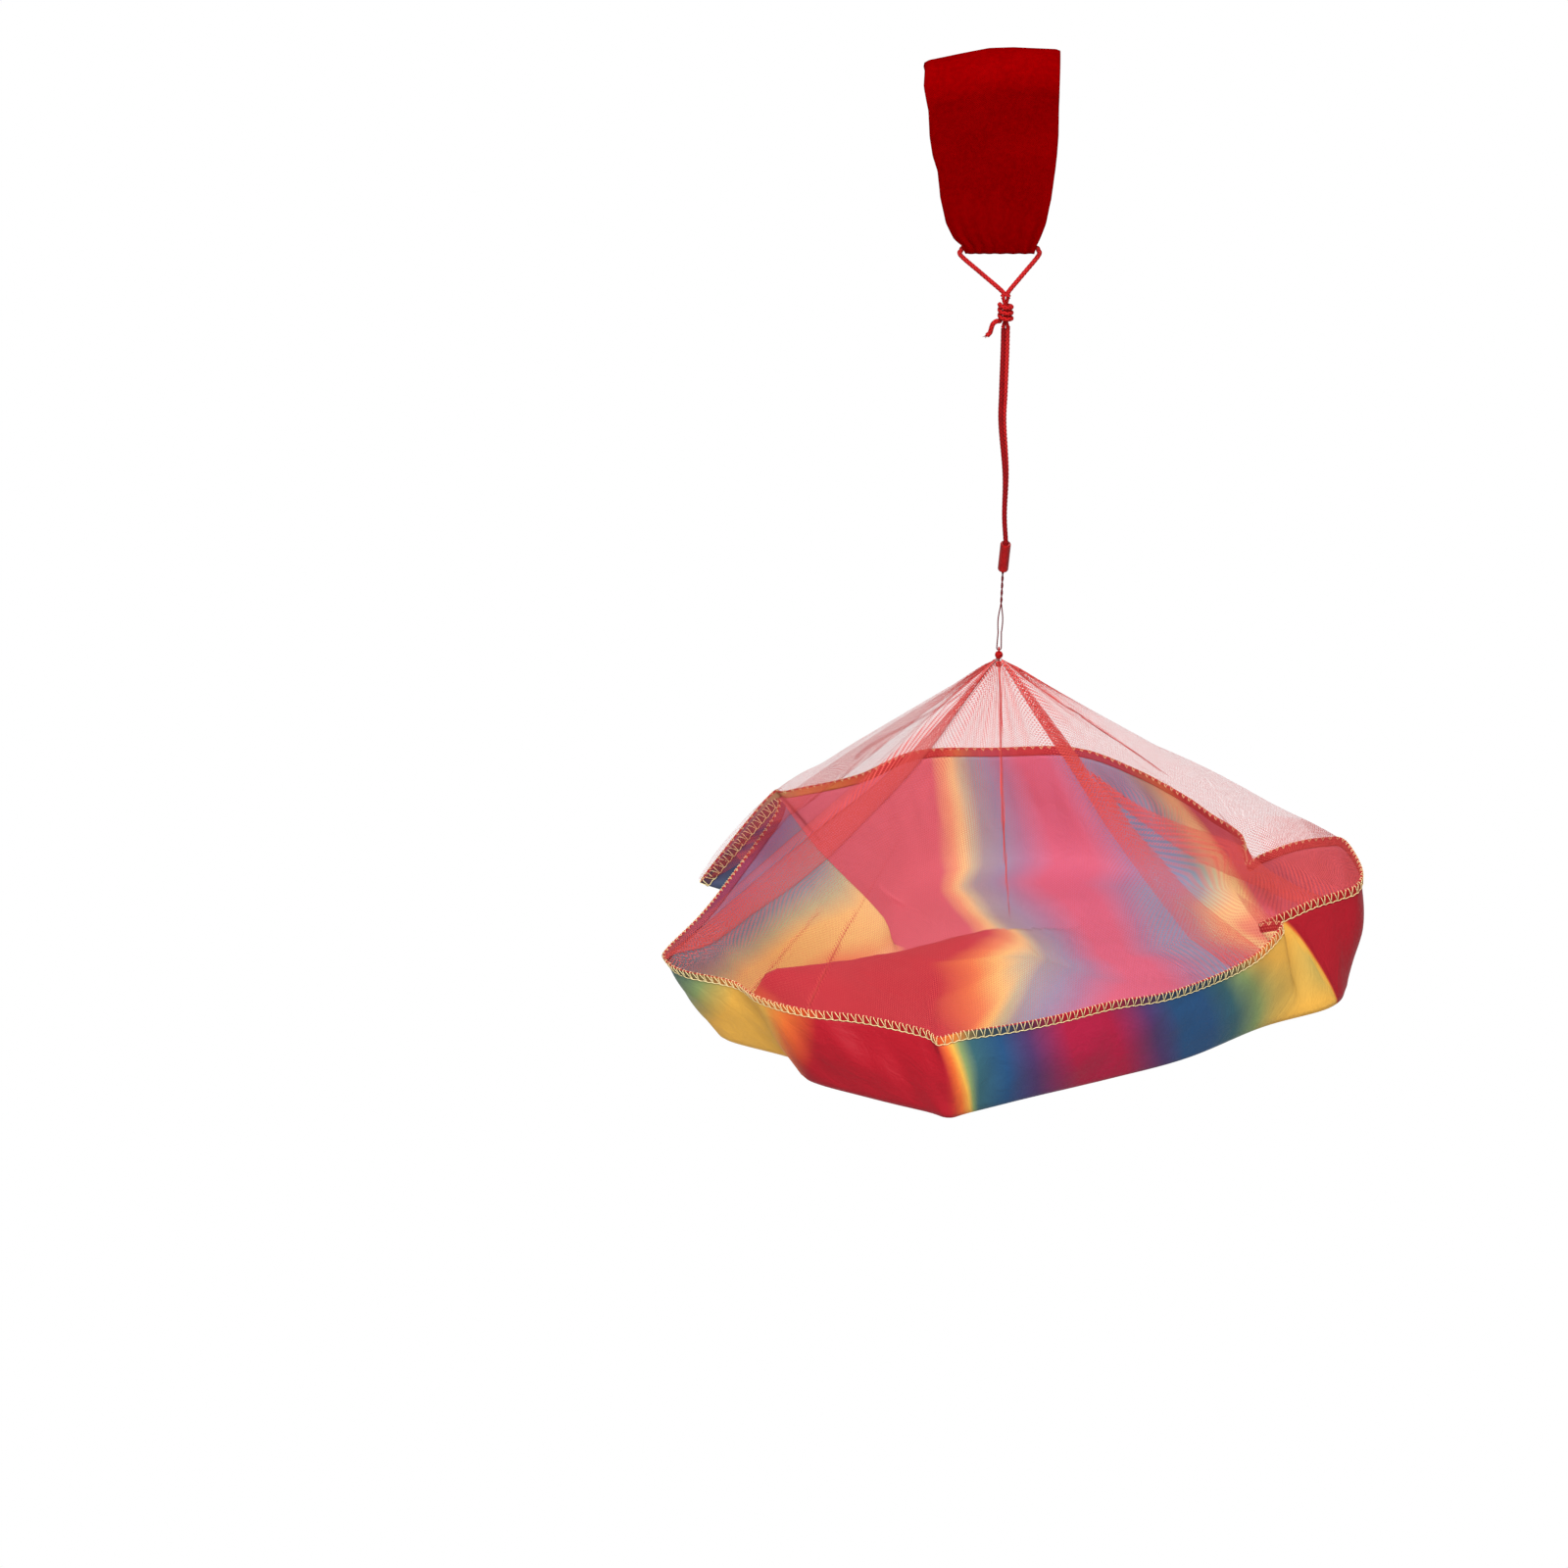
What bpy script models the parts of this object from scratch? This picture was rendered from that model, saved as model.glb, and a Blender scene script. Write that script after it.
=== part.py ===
"""Toy parachute on a wrist band: a satin bowl under a net cone, hung on a string, a sleeve and a doubled cord.

Metres, +Z up. The origin is the middle of the rounded top of the wrist band, where a wrist or a peg bears.
+X is to the right and +Y is away from someone who faces the front of the toy.
"""

import math

import bmesh
import bpy
from mathutils import Vector

# Clearance between pieces that touch on the real toy
SEAT_GAP = 0.0003

# Wrist band: a ring of cloth whose hole runs along X, drawn in at its foot round the cord
BAND_WIDTH = 0.066
BAND_HEIGHT = 0.108
BAND_CLOTH = 0.0016
BAND_OPENING = 0.026

# Red cord: one loop through the band's foot, then a knot, then two strands side by side
CORD_DIAMETER = 0.0024
STRAND_SPACING = 0.0028
LEG_SPREAD_SHARE = 0.57
LEG_DROP = 0.0262
LEG_CORNER = 0.003
KNOT_HEIGHT = 0.0165
KNOT_SIDE = 0.0029
KNOT_CORE_DIAMETER = 0.0026
KNOT_FLARE_SHARES = (0.75, 1.1)
KNOT_FLARE_WIDTH_SHARE = 0.85
STRAND_LENGTH = 0.1145
STRAND_INSERT = 0.006

# Sleeve that joins the cord to the thin string, squeezed oval
SLEEVE_LENGTH = 0.0142
SLEEVE_WIDTH = 0.0052
SLEEVE_DEPTH = 0.008
SLEEVE_BORE_DEPTH = 0.0075
SLEEVE_ROUNDING = 0.0006
SLEEVE_SIDE = 0.0019
SLEEVE_TILT_TURN_SHARE = 0.0155
STRING_POCKET_DEPTH = 0.0003
STRING_POCKET_FLARE = 0.0034

# Thin string: a twisted pair, then an open loop through the eye of the apex knot
STRING_DIAMETER = 0.0006
STRING_PAIR_SPACING = 0.00105
STRING_DROP = 0.043
STRING_END_KNOT_DIAMETER = 0.002
STRING_TWISTED_SHARE = 0.47
STRING_TWIST_TURNS = 2.5
STRING_LOOP_OPENING = 0.0022
STRING_LOOP_WAIST_SHARE = 0.8
STRING_LOOP_BULGE_HALF_WAVES = 1.6
STRING_CORNER_SHARES = [(0.86, 0.36), (0.5, 0.0)]

# Knots that hold the net at its middle
APEX_KNOT_DIAMETER = 0.004
EYE_WIRE_DIAMETER = 0.0009
EYE_SINK = 0.0003
STEM_DIAMETER = 0.001
STOP_KNOT_DIAMETER = 0.0034
NECK_DIAMETER = 0.0028

# Canopy: a net disc and a satin disc of one size, sewn together round the rim
CANOPY_DROP = 0.178
CANOPY_REACH = 0.170
RIM_HEIGHT = 0.060
NET_CLOTH = 0.0004
SATIN_CLOTH = 0.0005
SEAM_HEIGHT = 0.0045
SEAM_CLOTH = 0.001
HEM_GAP = 0.0005
SLOPE_SPREAD = 3
NET_FOLD_START_SHARE = 0.55
RIM_STEPS_PER_TURN = 84
FLOOR_RINGS = [(0.3, 4), (0.62, 2), (0.88, 1)]
FLOOR_EDGE_GAP = SEAT_GAP + SATIN_CLOTH
WALL_RING_SHARES = (0, 0.45)
NET_RINGS = [(0, 4), (0.08, 4), (0.3, 2), (0.55, 1), (0.75, 1), (0.9, 1), (1, 1)]
RIDGE_FADE_SHARE = 0.3
RIDGE_HEIGHT = 0.019
RIDGE_FRONT = 0.042
RIDGE_BACK = 0.014

# Rim of the canopy: turn of the flat disc, then X and Y in shares of the reach and Z of the rim height
RIM_SHARES = [
    (0.586, -0.963, -0.240, 0.600),
    (0.596, -0.912, -0.322, 0.600),
    (0.625, -0.768, -0.415, 0.623),
    (0.640, -0.698, -0.510, 0.608),
    (0.667, -0.568, -0.624, 0.640),
    (0.692, -0.392, -0.692, 0.663),
    (0.717, -0.220, -0.796, 0.680),
    (0.724, -0.178, -0.845, 0.672),
    (0.733, -0.105, -0.819, 0.688),
    (0.753, 0.040, -0.780, 0.703),
    (0.772, 0.184, -0.716, 0.712),
    (0.793, 0.328, -0.634, 0.720),
    (0.814, 0.472, -0.565, 0.703),
    (0.832, 0.585, -0.472, 0.697),
    (0.850, 0.686, -0.364, 0.697),
    (0.864, 0.760, -0.290, 0.760),
    (0.878, 0.816, -0.187, 0.848),
    (0.889, 0.751, -0.155, 0.800),
    (0.900, 0.830, -0.118, 0.863),
    (0.913, 0.904, -0.065, 0.897),
    (0.925, 0.974, -0.016, 0.903),
    (0.936, 1.034, 0.027, 0.920),
    (0.949, 1.048, 0.113, 0.960),
    (0.974, 1.002, 0.285, 0.992),
    (0.983, 0.946, 0.322, 0.968),
    (0.999, 0.858, 0.376, 0.857),
    (1.017, 0.759, 0.432, 0.672),
    (1.028, 0.723, 0.477, 0.543),
    (1.036, 0.709, 0.500, 0.657),
    (1.044, 0.700, 0.534, 0.743),
    (1.069, 0.615, 0.622, 0.808),
    (1.094, 0.542, 0.709, 0.857),
    (1.131, 0.398, 0.833, 0.943),
    (1.169, 0.226, 0.904, 1.040),
    (1.222, -0.006, 0.922, 1.017),
    (1.272, -0.234, 0.902, 1.017),
    (1.314, -0.409, 0.791, 0.937),
    (1.361, -0.610, 0.666, 0.977),
    (1.374, -0.665, 0.665, 0.955),
    (1.416, -0.835, 0.465, 0.560),
    (1.425, -0.842, 0.395, 0.535),
    (1.457, -0.658, 0.612, 0.915),
    (1.466, -0.645, 0.550, 0.890),
    (1.503, -0.754, 0.291, 0.737),
    (1.542, -0.856, 0.034, 0.657),
    (1.575, -0.954, -0.169, 0.608),
]

# Turns of the rim's rows that pull the net taut; between them its spare width hangs in folds
NET_TAUT_TURNS = (
    *(0.586, 0.625, 0.667, 0.717, 0.753, 0.793, 0.850, 0.949),
    *(1.069, 1.131, 1.222, 1.272, 1.361, 1.416, 1.503, 1.542),
)

# Crease between the satin's wall and its floor: turn of the flat disc, then X and Y in shares of the reach
CREASE_SHARES = [
    (0.589, -0.788, -0.347),
    (0.628, -0.573, -0.497),
    (0.642, -0.551, -0.627),
    (0.675, -0.364, -0.757),
    (0.715, -0.144, -0.864),
    (0.764, 0.110, -0.734),
    (0.794, 0.328, -0.610),
    (0.831, 0.542, -0.472),
    (0.867, 0.760, -0.257),
    (0.897, 0.960, -0.119),
    (0.931, 1.005, 0.028),
    (0.972, 0.977, 0.226),
    (1.014, 0.850, 0.420),
    (1.056, 0.750, 0.565),
    (1.111, 0.596, 0.706),
    (1.167, 0.370, 0.819),
    (1.222, 0.088, 0.875),
    (1.278, -0.138, 0.819),
    (1.333, -0.280, 0.664),
    (1.417, -0.314, 0.395),
    (1.458, -0.302, 0.277),
    (1.500, -0.435, 0.127),
    (1.542, -0.632, -0.099),
    (1.569, -0.731, -0.254),
]

# Fold that crosses the satin's floor from the left tip: X and Y in shares of the reach, height of its own share
RIDGE_SHARES = [(-0.76, -0.30, 1.0), (-0.53, -0.15, 1.0), (-0.32, 0.02, 1.0), (-0.06, 0.19, 0.85), (0.14, 0.22, 0.0)]

# Edges of the wrist band: share of the height from the top, then left and right X in shares of the width
BAND_EDGE_SHARES = [
    (0.00, -0.535, 0.440),
    (0.13, -0.560, 0.438),
    (0.24, -0.530, 0.432),
    (0.38, -0.520, 0.430),
    (0.48, -0.498, 0.420),
    (0.56, -0.462, 0.408),
    (0.71, -0.440, 0.380),
    (0.84, -0.395, 0.340),
    (0.92, -0.335, 0.295),
    (0.955, -0.262, 0.258),
    (1.00, -0.240, 0.240),
]
# Drop of the band's top edge from left to right, in shares of its height
BAND_TOP_DROP_SHARES = [(0.0, 0.075), (0.12, 0.030), (0.30, 0.004), (0.65, 0.0), (1.0, 0.004)]

# Side step of the doubled cord between knot and sleeve: share of its length, then X in metres
STRAND_ROUTE = [(0.0, 0.0029), (0.12, 0.0026), (0.30, 0.0019), (0.44, 0.0015), (0.67, 0.0031), (0.87, 0.0026)]
# Cut end of the cord below the knot, from where the winding ends
TAIL_ROUTE = [
    (-0.0018, -0.0012, 0.0003),
    (-0.0034, -0.0018, -0.0009),
    (-0.0042, -0.0020, -0.0032),
    (-0.0048, -0.0020, -0.0053),
    (-0.0062, -0.0021, -0.0068),
]
STRAND_TWIST_TURNS = 0.25
KNOT_TURNS = 2.0

CORD_RADIUS = CORD_DIAMETER / 2
BAND_TOP_RADIUS = (BAND_OPENING + BAND_CLOTH) / 2
BAND_FOOT_RADIUS = CORD_RADIUS + SEAT_GAP + BAND_CLOTH / 2
CASING_Z = -(BAND_HEIGHT - BAND_TOP_RADIUS - BAND_FOOT_RADIUS - BAND_CLOTH)
KNOT_TOP_Z = CASING_Z - LEG_DROP
KNOT_FOOT_Z = KNOT_TOP_Z - KNOT_HEIGHT
SLEEVE_TOP_Z = KNOT_FOOT_Z - STRAND_LENGTH
SLEEVE_TILT = SLEEVE_TILT_TURN_SHARE * 2 * math.pi
STRING_TOP_Z = SLEEVE_TOP_Z - (SLEEVE_LENGTH - STRING_POCKET_DEPTH) * math.cos(SLEEVE_TILT)
EYE_Z = STRING_TOP_Z - STRING_DROP
EYE_RADIUS = STRING_DIAMETER / 2 + SEAT_GAP + EYE_WIRE_DIAMETER / 2
APEX_KNOT_Z = EYE_Z - EYE_RADIUS - APEX_KNOT_DIAMETER / 2 + EYE_SINK
NECK_Z = APEX_KNOT_Z - APEX_KNOT_DIAMETER / 2 - SEAT_GAP - NET_CLOTH / 2
STEM_FOOT_Z = NECK_Z - NET_CLOTH / 2 - SEAT_GAP
FLOOR_Z = NECK_Z - CANOPY_DROP


def start_scene():
    for obj in list(bpy.data.objects):
        bpy.data.objects.remove(obj, do_unlink=True)
    parts = bpy.data.collections.new("toy_parachute")
    cutters = bpy.data.collections.new("cutters")
    for group in (parts, cutters):
        bpy.context.scene.collection.children.link(group)
    return parts, cutters


def material(name, colour, roughness):
    made = bpy.data.materials.new(name)
    made.use_nodes = True
    shader = made.node_tree.nodes["Principled BSDF"]
    shader.inputs["Base Color"].default_value = (*colour, 1)
    shader.inputs["Roughness"].default_value = roughness
    shader.inputs["Metallic"].default_value = 0
    return made


def add_object(name, data, group, finish):
    obj = bpy.data.objects.new(name, data)
    group.objects.link(obj)
    if finish:
        data.materials.append(finish)
    return obj


def mesh_object(name, bm, group, finish):
    mesh = bpy.data.meshes.new(name)
    bm.to_mesh(mesh)
    bm.free()
    obj = add_object(name, mesh, group, finish)
    mesh.shade_smooth()
    return obj


def make_cutter(obj):
    obj.hide_render = True
    obj.display_type = "WIRE"
    return obj


def boolean(obj, other, operation):
    step = obj.modifiers.new(other.name, "BOOLEAN")
    step.object = other
    step.operation = operation
    step.solver = "EXACT"


def thicken(obj, thickness):
    wall = obj.modifiers.new("cloth", "SOLIDIFY")
    wall.thickness = thickness
    wall.offset = 0
    wall.use_quality_normals = True


def spline_point(before, start, end, after, share):
    """Catmull-Rom: a smooth curve through start and end, led by their neighbours."""
    square = share * share
    cube = square * share
    return (
        (2 * start + (end - before) * share)
        + (2 * before - 5 * start + 4 * end - after) * square
        + (3 * start - before - 3 * end + after) * cube
    ) / 2


def closed_curve(points, steps):
    """Points on a closed smooth curve, with so many steps from each given point to the next."""
    count = len(points)
    found = []
    for i, step_count in enumerate(steps):
        near = [points[(i + k) % count] for k in (-1, 0, 1, 2)]
        found += [spline_point(*near, k / step_count) for k in range(step_count)]
    return found


def smooth_route(points, spacing):
    """Evenly spaced points on an open smooth curve through the given ones."""
    ends = [2 * points[0] - points[1], *points, 2 * points[-1] - points[-2]]
    fine = 24
    dense = [
        spline_point(*ends[i : i + 4], k / fine) for i in range(len(points) - 1) for k in range(fine)
    ] + [points[-1]]
    travelled = [0.0]
    for a, b in zip(dense, dense[1:]):
        travelled.append(travelled[-1] + (b - a).length)
    count = max(2, round(travelled[-1] / spacing))
    found = []
    at = 0
    for k in range(count + 1):
        target = travelled[-1] * k / count
        while at < len(dense) - 2 and travelled[at + 1] < target:
            at += 1
        part = (target - travelled[at]) / (travelled[at + 1] - travelled[at])
        found.append(dense[at].lerp(dense[at + 1], min(part, 1)))
    return found


def table_value(table, at, column=1):
    """Straight-line reading of a table whose first column rises."""
    for low, high in zip(table, table[1:]):
        if at <= high[0]:
            share = (at - low[0]) / (high[0] - low[0])
            return low[column] + (high[column] - low[column]) * max(0, share)
    return table[-1][column]


def tube(name, points, diameter, group, finish, sides=2):
    curve = bpy.data.curves.new(name, "CURVE")
    curve.dimensions = "3D"
    curve.bevel_depth = diameter / 2
    curve.bevel_resolution = sides
    curve.use_fill_caps = True
    spline = curve.splines.new("POLY")
    spline.points.add(len(points) - 1)
    for point, place in zip(spline.points, points):
        point.co = (*place, 1)
    return add_object(name, curve, group, finish)


def least_gap(points, diameter):
    """Smallest gap of a tube to itself, between points that lie over four diameters apart along it."""
    travelled = [0.0]
    for a, b in zip(points, points[1:]):
        travelled.append(travelled[-1] + (b - a).length)
    gaps = [
        (points[i] - points[k]).length - diameter
        for i in range(len(points))
        for k in range(i)
        if travelled[i] - travelled[k] > 4 * diameter
    ]
    return min(gaps)


def join_rings(bm, inner, outer):
    """Faces between two rings, where the outer one has as many points or twice as many."""
    count = len(outer)
    if len(inner) == 1:
        for i in range(count):
            bm.faces.new((inner[0], outer[i], outer[(i + 1) % count]))
    elif len(inner) == count:
        for i in range(count):
            k = (i + 1) % count
            bm.faces.new((inner[i], outer[i], outer[k], inner[k]))
    else:
        for i, corner in enumerate(inner):
            following = inner[(i + 1) % len(inner)]
            left, middle, right = (outer[(2 * i + k) % count] for k in range(3))
            bm.faces.new((corner, left, middle))
            bm.faces.new((corner, middle, following))
            bm.faces.new((following, middle, right))


def ring_sheet(name, rings, group, finish, thickness):
    bm = bmesh.new()
    made = [[bm.verts.new(point) for point in ring] for ring in rings]
    for inner, outer in zip(made, made[1:]):
        join_rings(bm, inner, outer)
    bmesh.ops.triangulate(bm, faces=bm.faces)
    obj = mesh_object(name, bm, group, finish)
    thicken(obj, thickness)
    return obj


def band_loop(station):
    """The band's closed line in Y and Z at one station of its width: two arcs and the walls between them."""
    top = Vector((0, 0, -BAND_HEIGHT * table_value(BAND_TOP_DROP_SHARES, station)))
    foot = Vector((0, 0, CASING_Z))
    lean = math.asin((BAND_TOP_RADIUS - BAND_FOOT_RADIUS) / (top.z - foot.z))
    top_steps, foot_steps, wall_steps = 12, 6, 9
    line = []
    for k in range(top_steps + 1):
        turn = -lean + (math.pi + 2 * lean) * k / top_steps
        line.append(top + BAND_TOP_RADIUS * Vector((0, math.cos(turn), math.sin(turn))))
    foot_arc = []
    for k in range(foot_steps + 1):
        turn = math.pi + lean + (math.pi - 2 * lean) * k / foot_steps
        foot_arc.append(foot + BAND_FOOT_RADIUS * Vector((0, math.cos(turn), math.sin(turn))))
    down = [line[-1].lerp(foot_arc[0], k / wall_steps) for k in range(1, wall_steps)]
    up = [foot_arc[-1].lerp(line[0], k / wall_steps) for k in range(1, wall_steps)]
    return line + down + foot_arc + up


def make_wrist_band(parts, finish):
    stations = 8
    highest = BAND_TOP_RADIUS
    reach = highest - (CASING_Z - BAND_FOOT_RADIUS)
    rings = []
    for i in range(stations + 1):
        share = i / stations
        ring = []
        for point in band_loop(share):
            height_share = (highest - point.z) / reach
            left = BAND_WIDTH * table_value(BAND_EDGE_SHARES, height_share, 1)
            right = BAND_WIDTH * table_value(BAND_EDGE_SHARES, height_share, 2)
            ring.append(Vector((left + (right - left) * share, point.y, point.z)))
        rings.append(ring)
    ring_sheet("wrist_band", rings, parts, finish, BAND_CLOTH)


def make_band_cord(parts, finish):
    """One cord: up from the knot, through the band's foot and down again."""
    half = BAND_WIDTH * LEG_SPREAD_SHARE / 2
    foot_z = KNOT_TOP_Z + SEAT_GAP
    side = STRAND_SPACING / 2
    straight = BAND_FOOT_RADIUS + BAND_CLOTH / 2 + CORD_RADIUS
    left_foot = Vector((KNOT_SIDE - side, 0, foot_z))
    right_foot = Vector((KNOT_SIDE + side, 0, foot_z))
    rise = Vector((0, 0, CORD_DIAMETER))
    left_top = Vector((-half, 0, CASING_Z - straight))
    right_top = Vector((half, 0, CASING_Z - straight))
    left = [left_foot, left_foot + rise, (left_foot + rise).lerp(left_top, 0.5), left_top]
    left_corner = [
        Vector((-half, 0, CASING_Z - LEG_CORNER / 2)),
        Vector((LEG_CORNER / 2 - half, 0, CASING_Z)),
    ]
    middle = [Vector((half * share, 0, CASING_Z)) for share in (-0.5, 0, 0.5)]
    right = [right_foot, right_foot + rise, (right_foot + rise).lerp(right_top, 0.5), right_top]
    right_corner = [Vector((-place.x, 0, place.z)) for place in left_corner]
    route = left + left_corner + middle + right_corner[::-1] + right[::-1]
    points = smooth_route(route, CORD_DIAMETER)
    tube("band_cord", points, CORD_DIAMETER, parts, finish)


def make_knot(parts, finish):
    """A core that takes both strands, wound by the cord, whose cut end stands out at the lower left."""
    wide = STRAND_SPACING + CORD_DIAMETER
    winding_height = KNOT_TURNS * (CORD_DIAMETER + 2 * SEAT_GAP)
    flare = (KNOT_HEIGHT - winding_height - CORD_DIAMETER) / 2
    shoulder, waist = (flare * share for share in KNOT_FLARE_SHARES)
    shoulder_width = wide * KNOT_FLARE_WIDTH_SHARE
    sections = [
        (0, wide, CORD_DIAMETER),
        (shoulder, shoulder_width, CORD_DIAMETER),
        (waist, KNOT_CORE_DIAMETER, KNOT_CORE_DIAMETER),
        (KNOT_HEIGHT - waist, KNOT_CORE_DIAMETER, KNOT_CORE_DIAMETER),
        (KNOT_HEIGHT - shoulder, shoulder_width, CORD_DIAMETER),
        (KNOT_HEIGHT, wide, CORD_DIAMETER),
    ]
    sides = 16
    bm = bmesh.new()
    rings = []
    for down, across, deep in sections:
        ring = []
        for k in range(sides):
            turn = 2 * math.pi * k / sides
            x = KNOT_SIDE + across / 2 * math.cos(turn)
            ring.append(bm.verts.new((x, deep / 2 * math.sin(turn), KNOT_TOP_Z - down)))
        rings.append(ring)
    for upper, lower in zip(rings, rings[1:]):
        join_rings(bm, upper, lower)
    bm.faces.new(rings[0])
    bm.faces.new(rings[-1][::-1])
    bmesh.ops.recalc_face_normals(bm, faces=bm.faces)
    mesh_object("knot_core", bm, parts, finish)

    wound_radius = KNOT_CORE_DIAMETER / 2 + SEAT_GAP + CORD_RADIUS
    start_z = KNOT_TOP_Z - (KNOT_HEIGHT - winding_height) / 2
    per_turn = 16
    steps = round(KNOT_TURNS * per_turn)
    winding = []
    for k in range(steps + 1):
        turn = math.pi + 2 * math.pi * k / per_turn
        place = (KNOT_SIDE + wound_radius * math.cos(turn), wound_radius * math.sin(turn))
        winding.append(Vector((*place, start_z - winding_height * k / steps)))
    tail = [winding[-1] + Vector(step) for step in TAIL_ROUTE]
    points = winding + smooth_route([winding[-1], *tail], CORD_DIAMETER / 2)[1:]
    print(f"knot_winding: least gap {least_gap(points, CORD_DIAMETER) * 1000:.2f} mm")
    tube("knot_winding", points, CORD_DIAMETER, parts, finish)


def sleeve_point(up):
    """A place on the sleeve's tilted axis, counted from the string's pocket."""
    return Vector((SLEEVE_SIDE + up * math.sin(SLEEVE_TILT), 0, STRING_TOP_Z + up * math.cos(SLEEVE_TILT)))


def make_strands(parts, finishes):
    mouth_up = SLEEVE_LENGTH - STRING_POCKET_DEPTH
    top_z = KNOT_FOOT_Z - SEAT_GAP
    length = top_z - sleeve_point(mouth_up).z
    middle = [Vector((x, 0, top_z - length * share)) for share, x in STRAND_ROUTE]
    middle += [sleeve_point(mouth_up), sleeve_point(mouth_up - STRAND_INSERT)]
    line = smooth_route(middle, CORD_DIAMETER * 2)
    for name, sign, finish in (("cord_strand_left", -1, finishes[0]), ("cord_strand_right", 1, finishes[1])):
        points = []
        for i, place in enumerate(line):
            share = min(1, (top_z - place.z) / length)
            eased = share * share * (3 - 2 * share)
            turn = 2 * math.pi * STRAND_TWIST_TURNS * eased
            step = Vector((math.cos(turn), math.sin(turn), 0)) * STRAND_SPACING / 2 * sign
            points.append(place + step)
        tube(name, points, CORD_DIAMETER, parts, finish)


def oval_post(name, across, deep, low, high, group, finish, sides=32):
    bm = bmesh.new()
    bmesh.ops.create_cone(bm, cap_ends=True, segments=sides, radius1=0.5, radius2=0.5, depth=1)
    bmesh.ops.scale(bm, verts=bm.verts, vec=(across, deep, high - low))
    bmesh.ops.translate(bm, verts=bm.verts, vec=(0, 0, (low + high) / 2))
    return mesh_object(name, bm, group, finish)


def make_sleeve(parts, cutters, finish):
    """Squeezed oval sleeve: the strands go into its upper bore, the string's end knot sits in its foot."""
    seat = bpy.data.objects.new("sleeve_place", None)
    parts.objects.link(seat)
    seat.location = sleeve_point(0)
    seat.rotation_euler = (0, SLEEVE_TILT, 0)
    low = -STRING_POCKET_DEPTH
    high = SLEEVE_LENGTH - STRING_POCKET_DEPTH
    sleeve = oval_post("crimp_sleeve", SLEEVE_WIDTH, SLEEVE_DEPTH, low, high, parts, finish)
    rounding = sleeve.modifiers.new("rounding", "BEVEL")
    rounding.width = SLEEVE_ROUNDING
    rounding.segments = 2
    rounding.limit_method = "ANGLE"

    across = CORD_DIAMETER + 2 * SEAT_GAP
    deep = STRAND_SPACING + CORD_DIAMETER + 2 * SEAT_GAP
    overrun = SLEEVE_ROUNDING
    bore = oval_post("cutter_bore", across, deep, high - SLEEVE_BORE_DEPTH, high + overrun, cutters, None)
    flare_height = STRING_POCKET_DEPTH + overrun
    bm = bmesh.new()
    bmesh.ops.create_cone(
        bm,
        cap_ends=True,
        segments=24,
        radius1=STRING_POCKET_FLARE / 2,
        radius2=STRING_END_KNOT_DIAMETER / 2,
        depth=2 * flare_height,
    )
    flare = mesh_object("cutter_flare", bm, cutters, None)
    bm = bmesh.new()
    pocket_radius = STRING_END_KNOT_DIAMETER / 2 + SEAT_GAP
    bmesh.ops.create_uvsphere(bm, u_segments=20, v_segments=12, radius=pocket_radius)
    pocket = mesh_object("cutter_pocket", bm, cutters, None)
    for cutter in (bore, flare, pocket):
        make_cutter(cutter)
        cutter.parent = seat
        boolean(sleeve, cutter, "DIFFERENCE")
    sleeve.parent = seat


def string_side(sign):
    """One side of the string, from the sleeve down to the eye: twisted, then half of the open loop."""
    top = sleeve_point(0)
    bottom = Vector((0, 0, EYE_Z))
    first = (STRING_END_KNOT_DIAMETER / 2 + SEAT_GAP) / STRING_DROP
    per_turn = 10
    twisted_steps = round(STRING_TWIST_TURNS * per_turn)
    points = []
    for k in range(twisted_steps + 1):
        share = first + (STRING_TWISTED_SHARE - first) * k / twisted_steps
        turn = 2 * math.pi * STRING_TWIST_TURNS * (k / twisted_steps - 1)
        step = Vector((math.cos(turn), math.sin(turn), 0)) * STRING_PAIR_SPACING / 2
        points.append(top.lerp(bottom, share) + sign * step)
    loop_steps = 10
    narrow = STRING_LOOP_OPENING * STRING_LOOP_WAIST_SHARE
    last = 1 - STRING_LOOP_OPENING / 2 / STRING_DROP
    for k in range(1, loop_steps + 1):
        part = k / loop_steps
        share = STRING_TWISTED_SHARE + (last - STRING_TWISTED_SHARE) * part
        swell = math.sin(math.pi * min(1, STRING_LOOP_BULGE_HALF_WAVES * part))
        bulge = swell * (narrow - STRING_PAIR_SPACING) / 2
        half = STRING_PAIR_SPACING / 2 + (STRING_LOOP_OPENING - STRING_PAIR_SPACING) / 2 * part + max(0, bulge)
        points.append(top.lerp(bottom, share) + Vector((sign * half, 0, 0)))
    return points


def make_string(parts, finish):
    """One unbroken string: down the left side, through the eye along X and up the right side."""
    half = STRING_LOOP_OPENING / 2
    corner = [Vector((half * out, 0, EYE_Z + half * up)) for out, up in STRING_CORNER_SHARES]
    left = string_side(-1)
    right = string_side(1)
    left += [Vector((-place.x, 0, place.z)) for place in corner]
    points = left + [Vector((0, 0, EYE_Z))] + corner[::-1] + right[::-1]
    print(f"string_loop: least gap {least_gap(points, STRING_DIAMETER) * 1000:.2f} mm")
    tube("string_loop", points, STRING_DIAMETER, parts, finish, sides=1)

    bm = bmesh.new()
    bmesh.ops.create_uvsphere(bm, u_segments=16, v_segments=10, radius=STRING_END_KNOT_DIAMETER / 2)
    ball = mesh_object("string_end_knot", bm, parts, finish)
    ball.location = sleeve_point(0)


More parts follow.
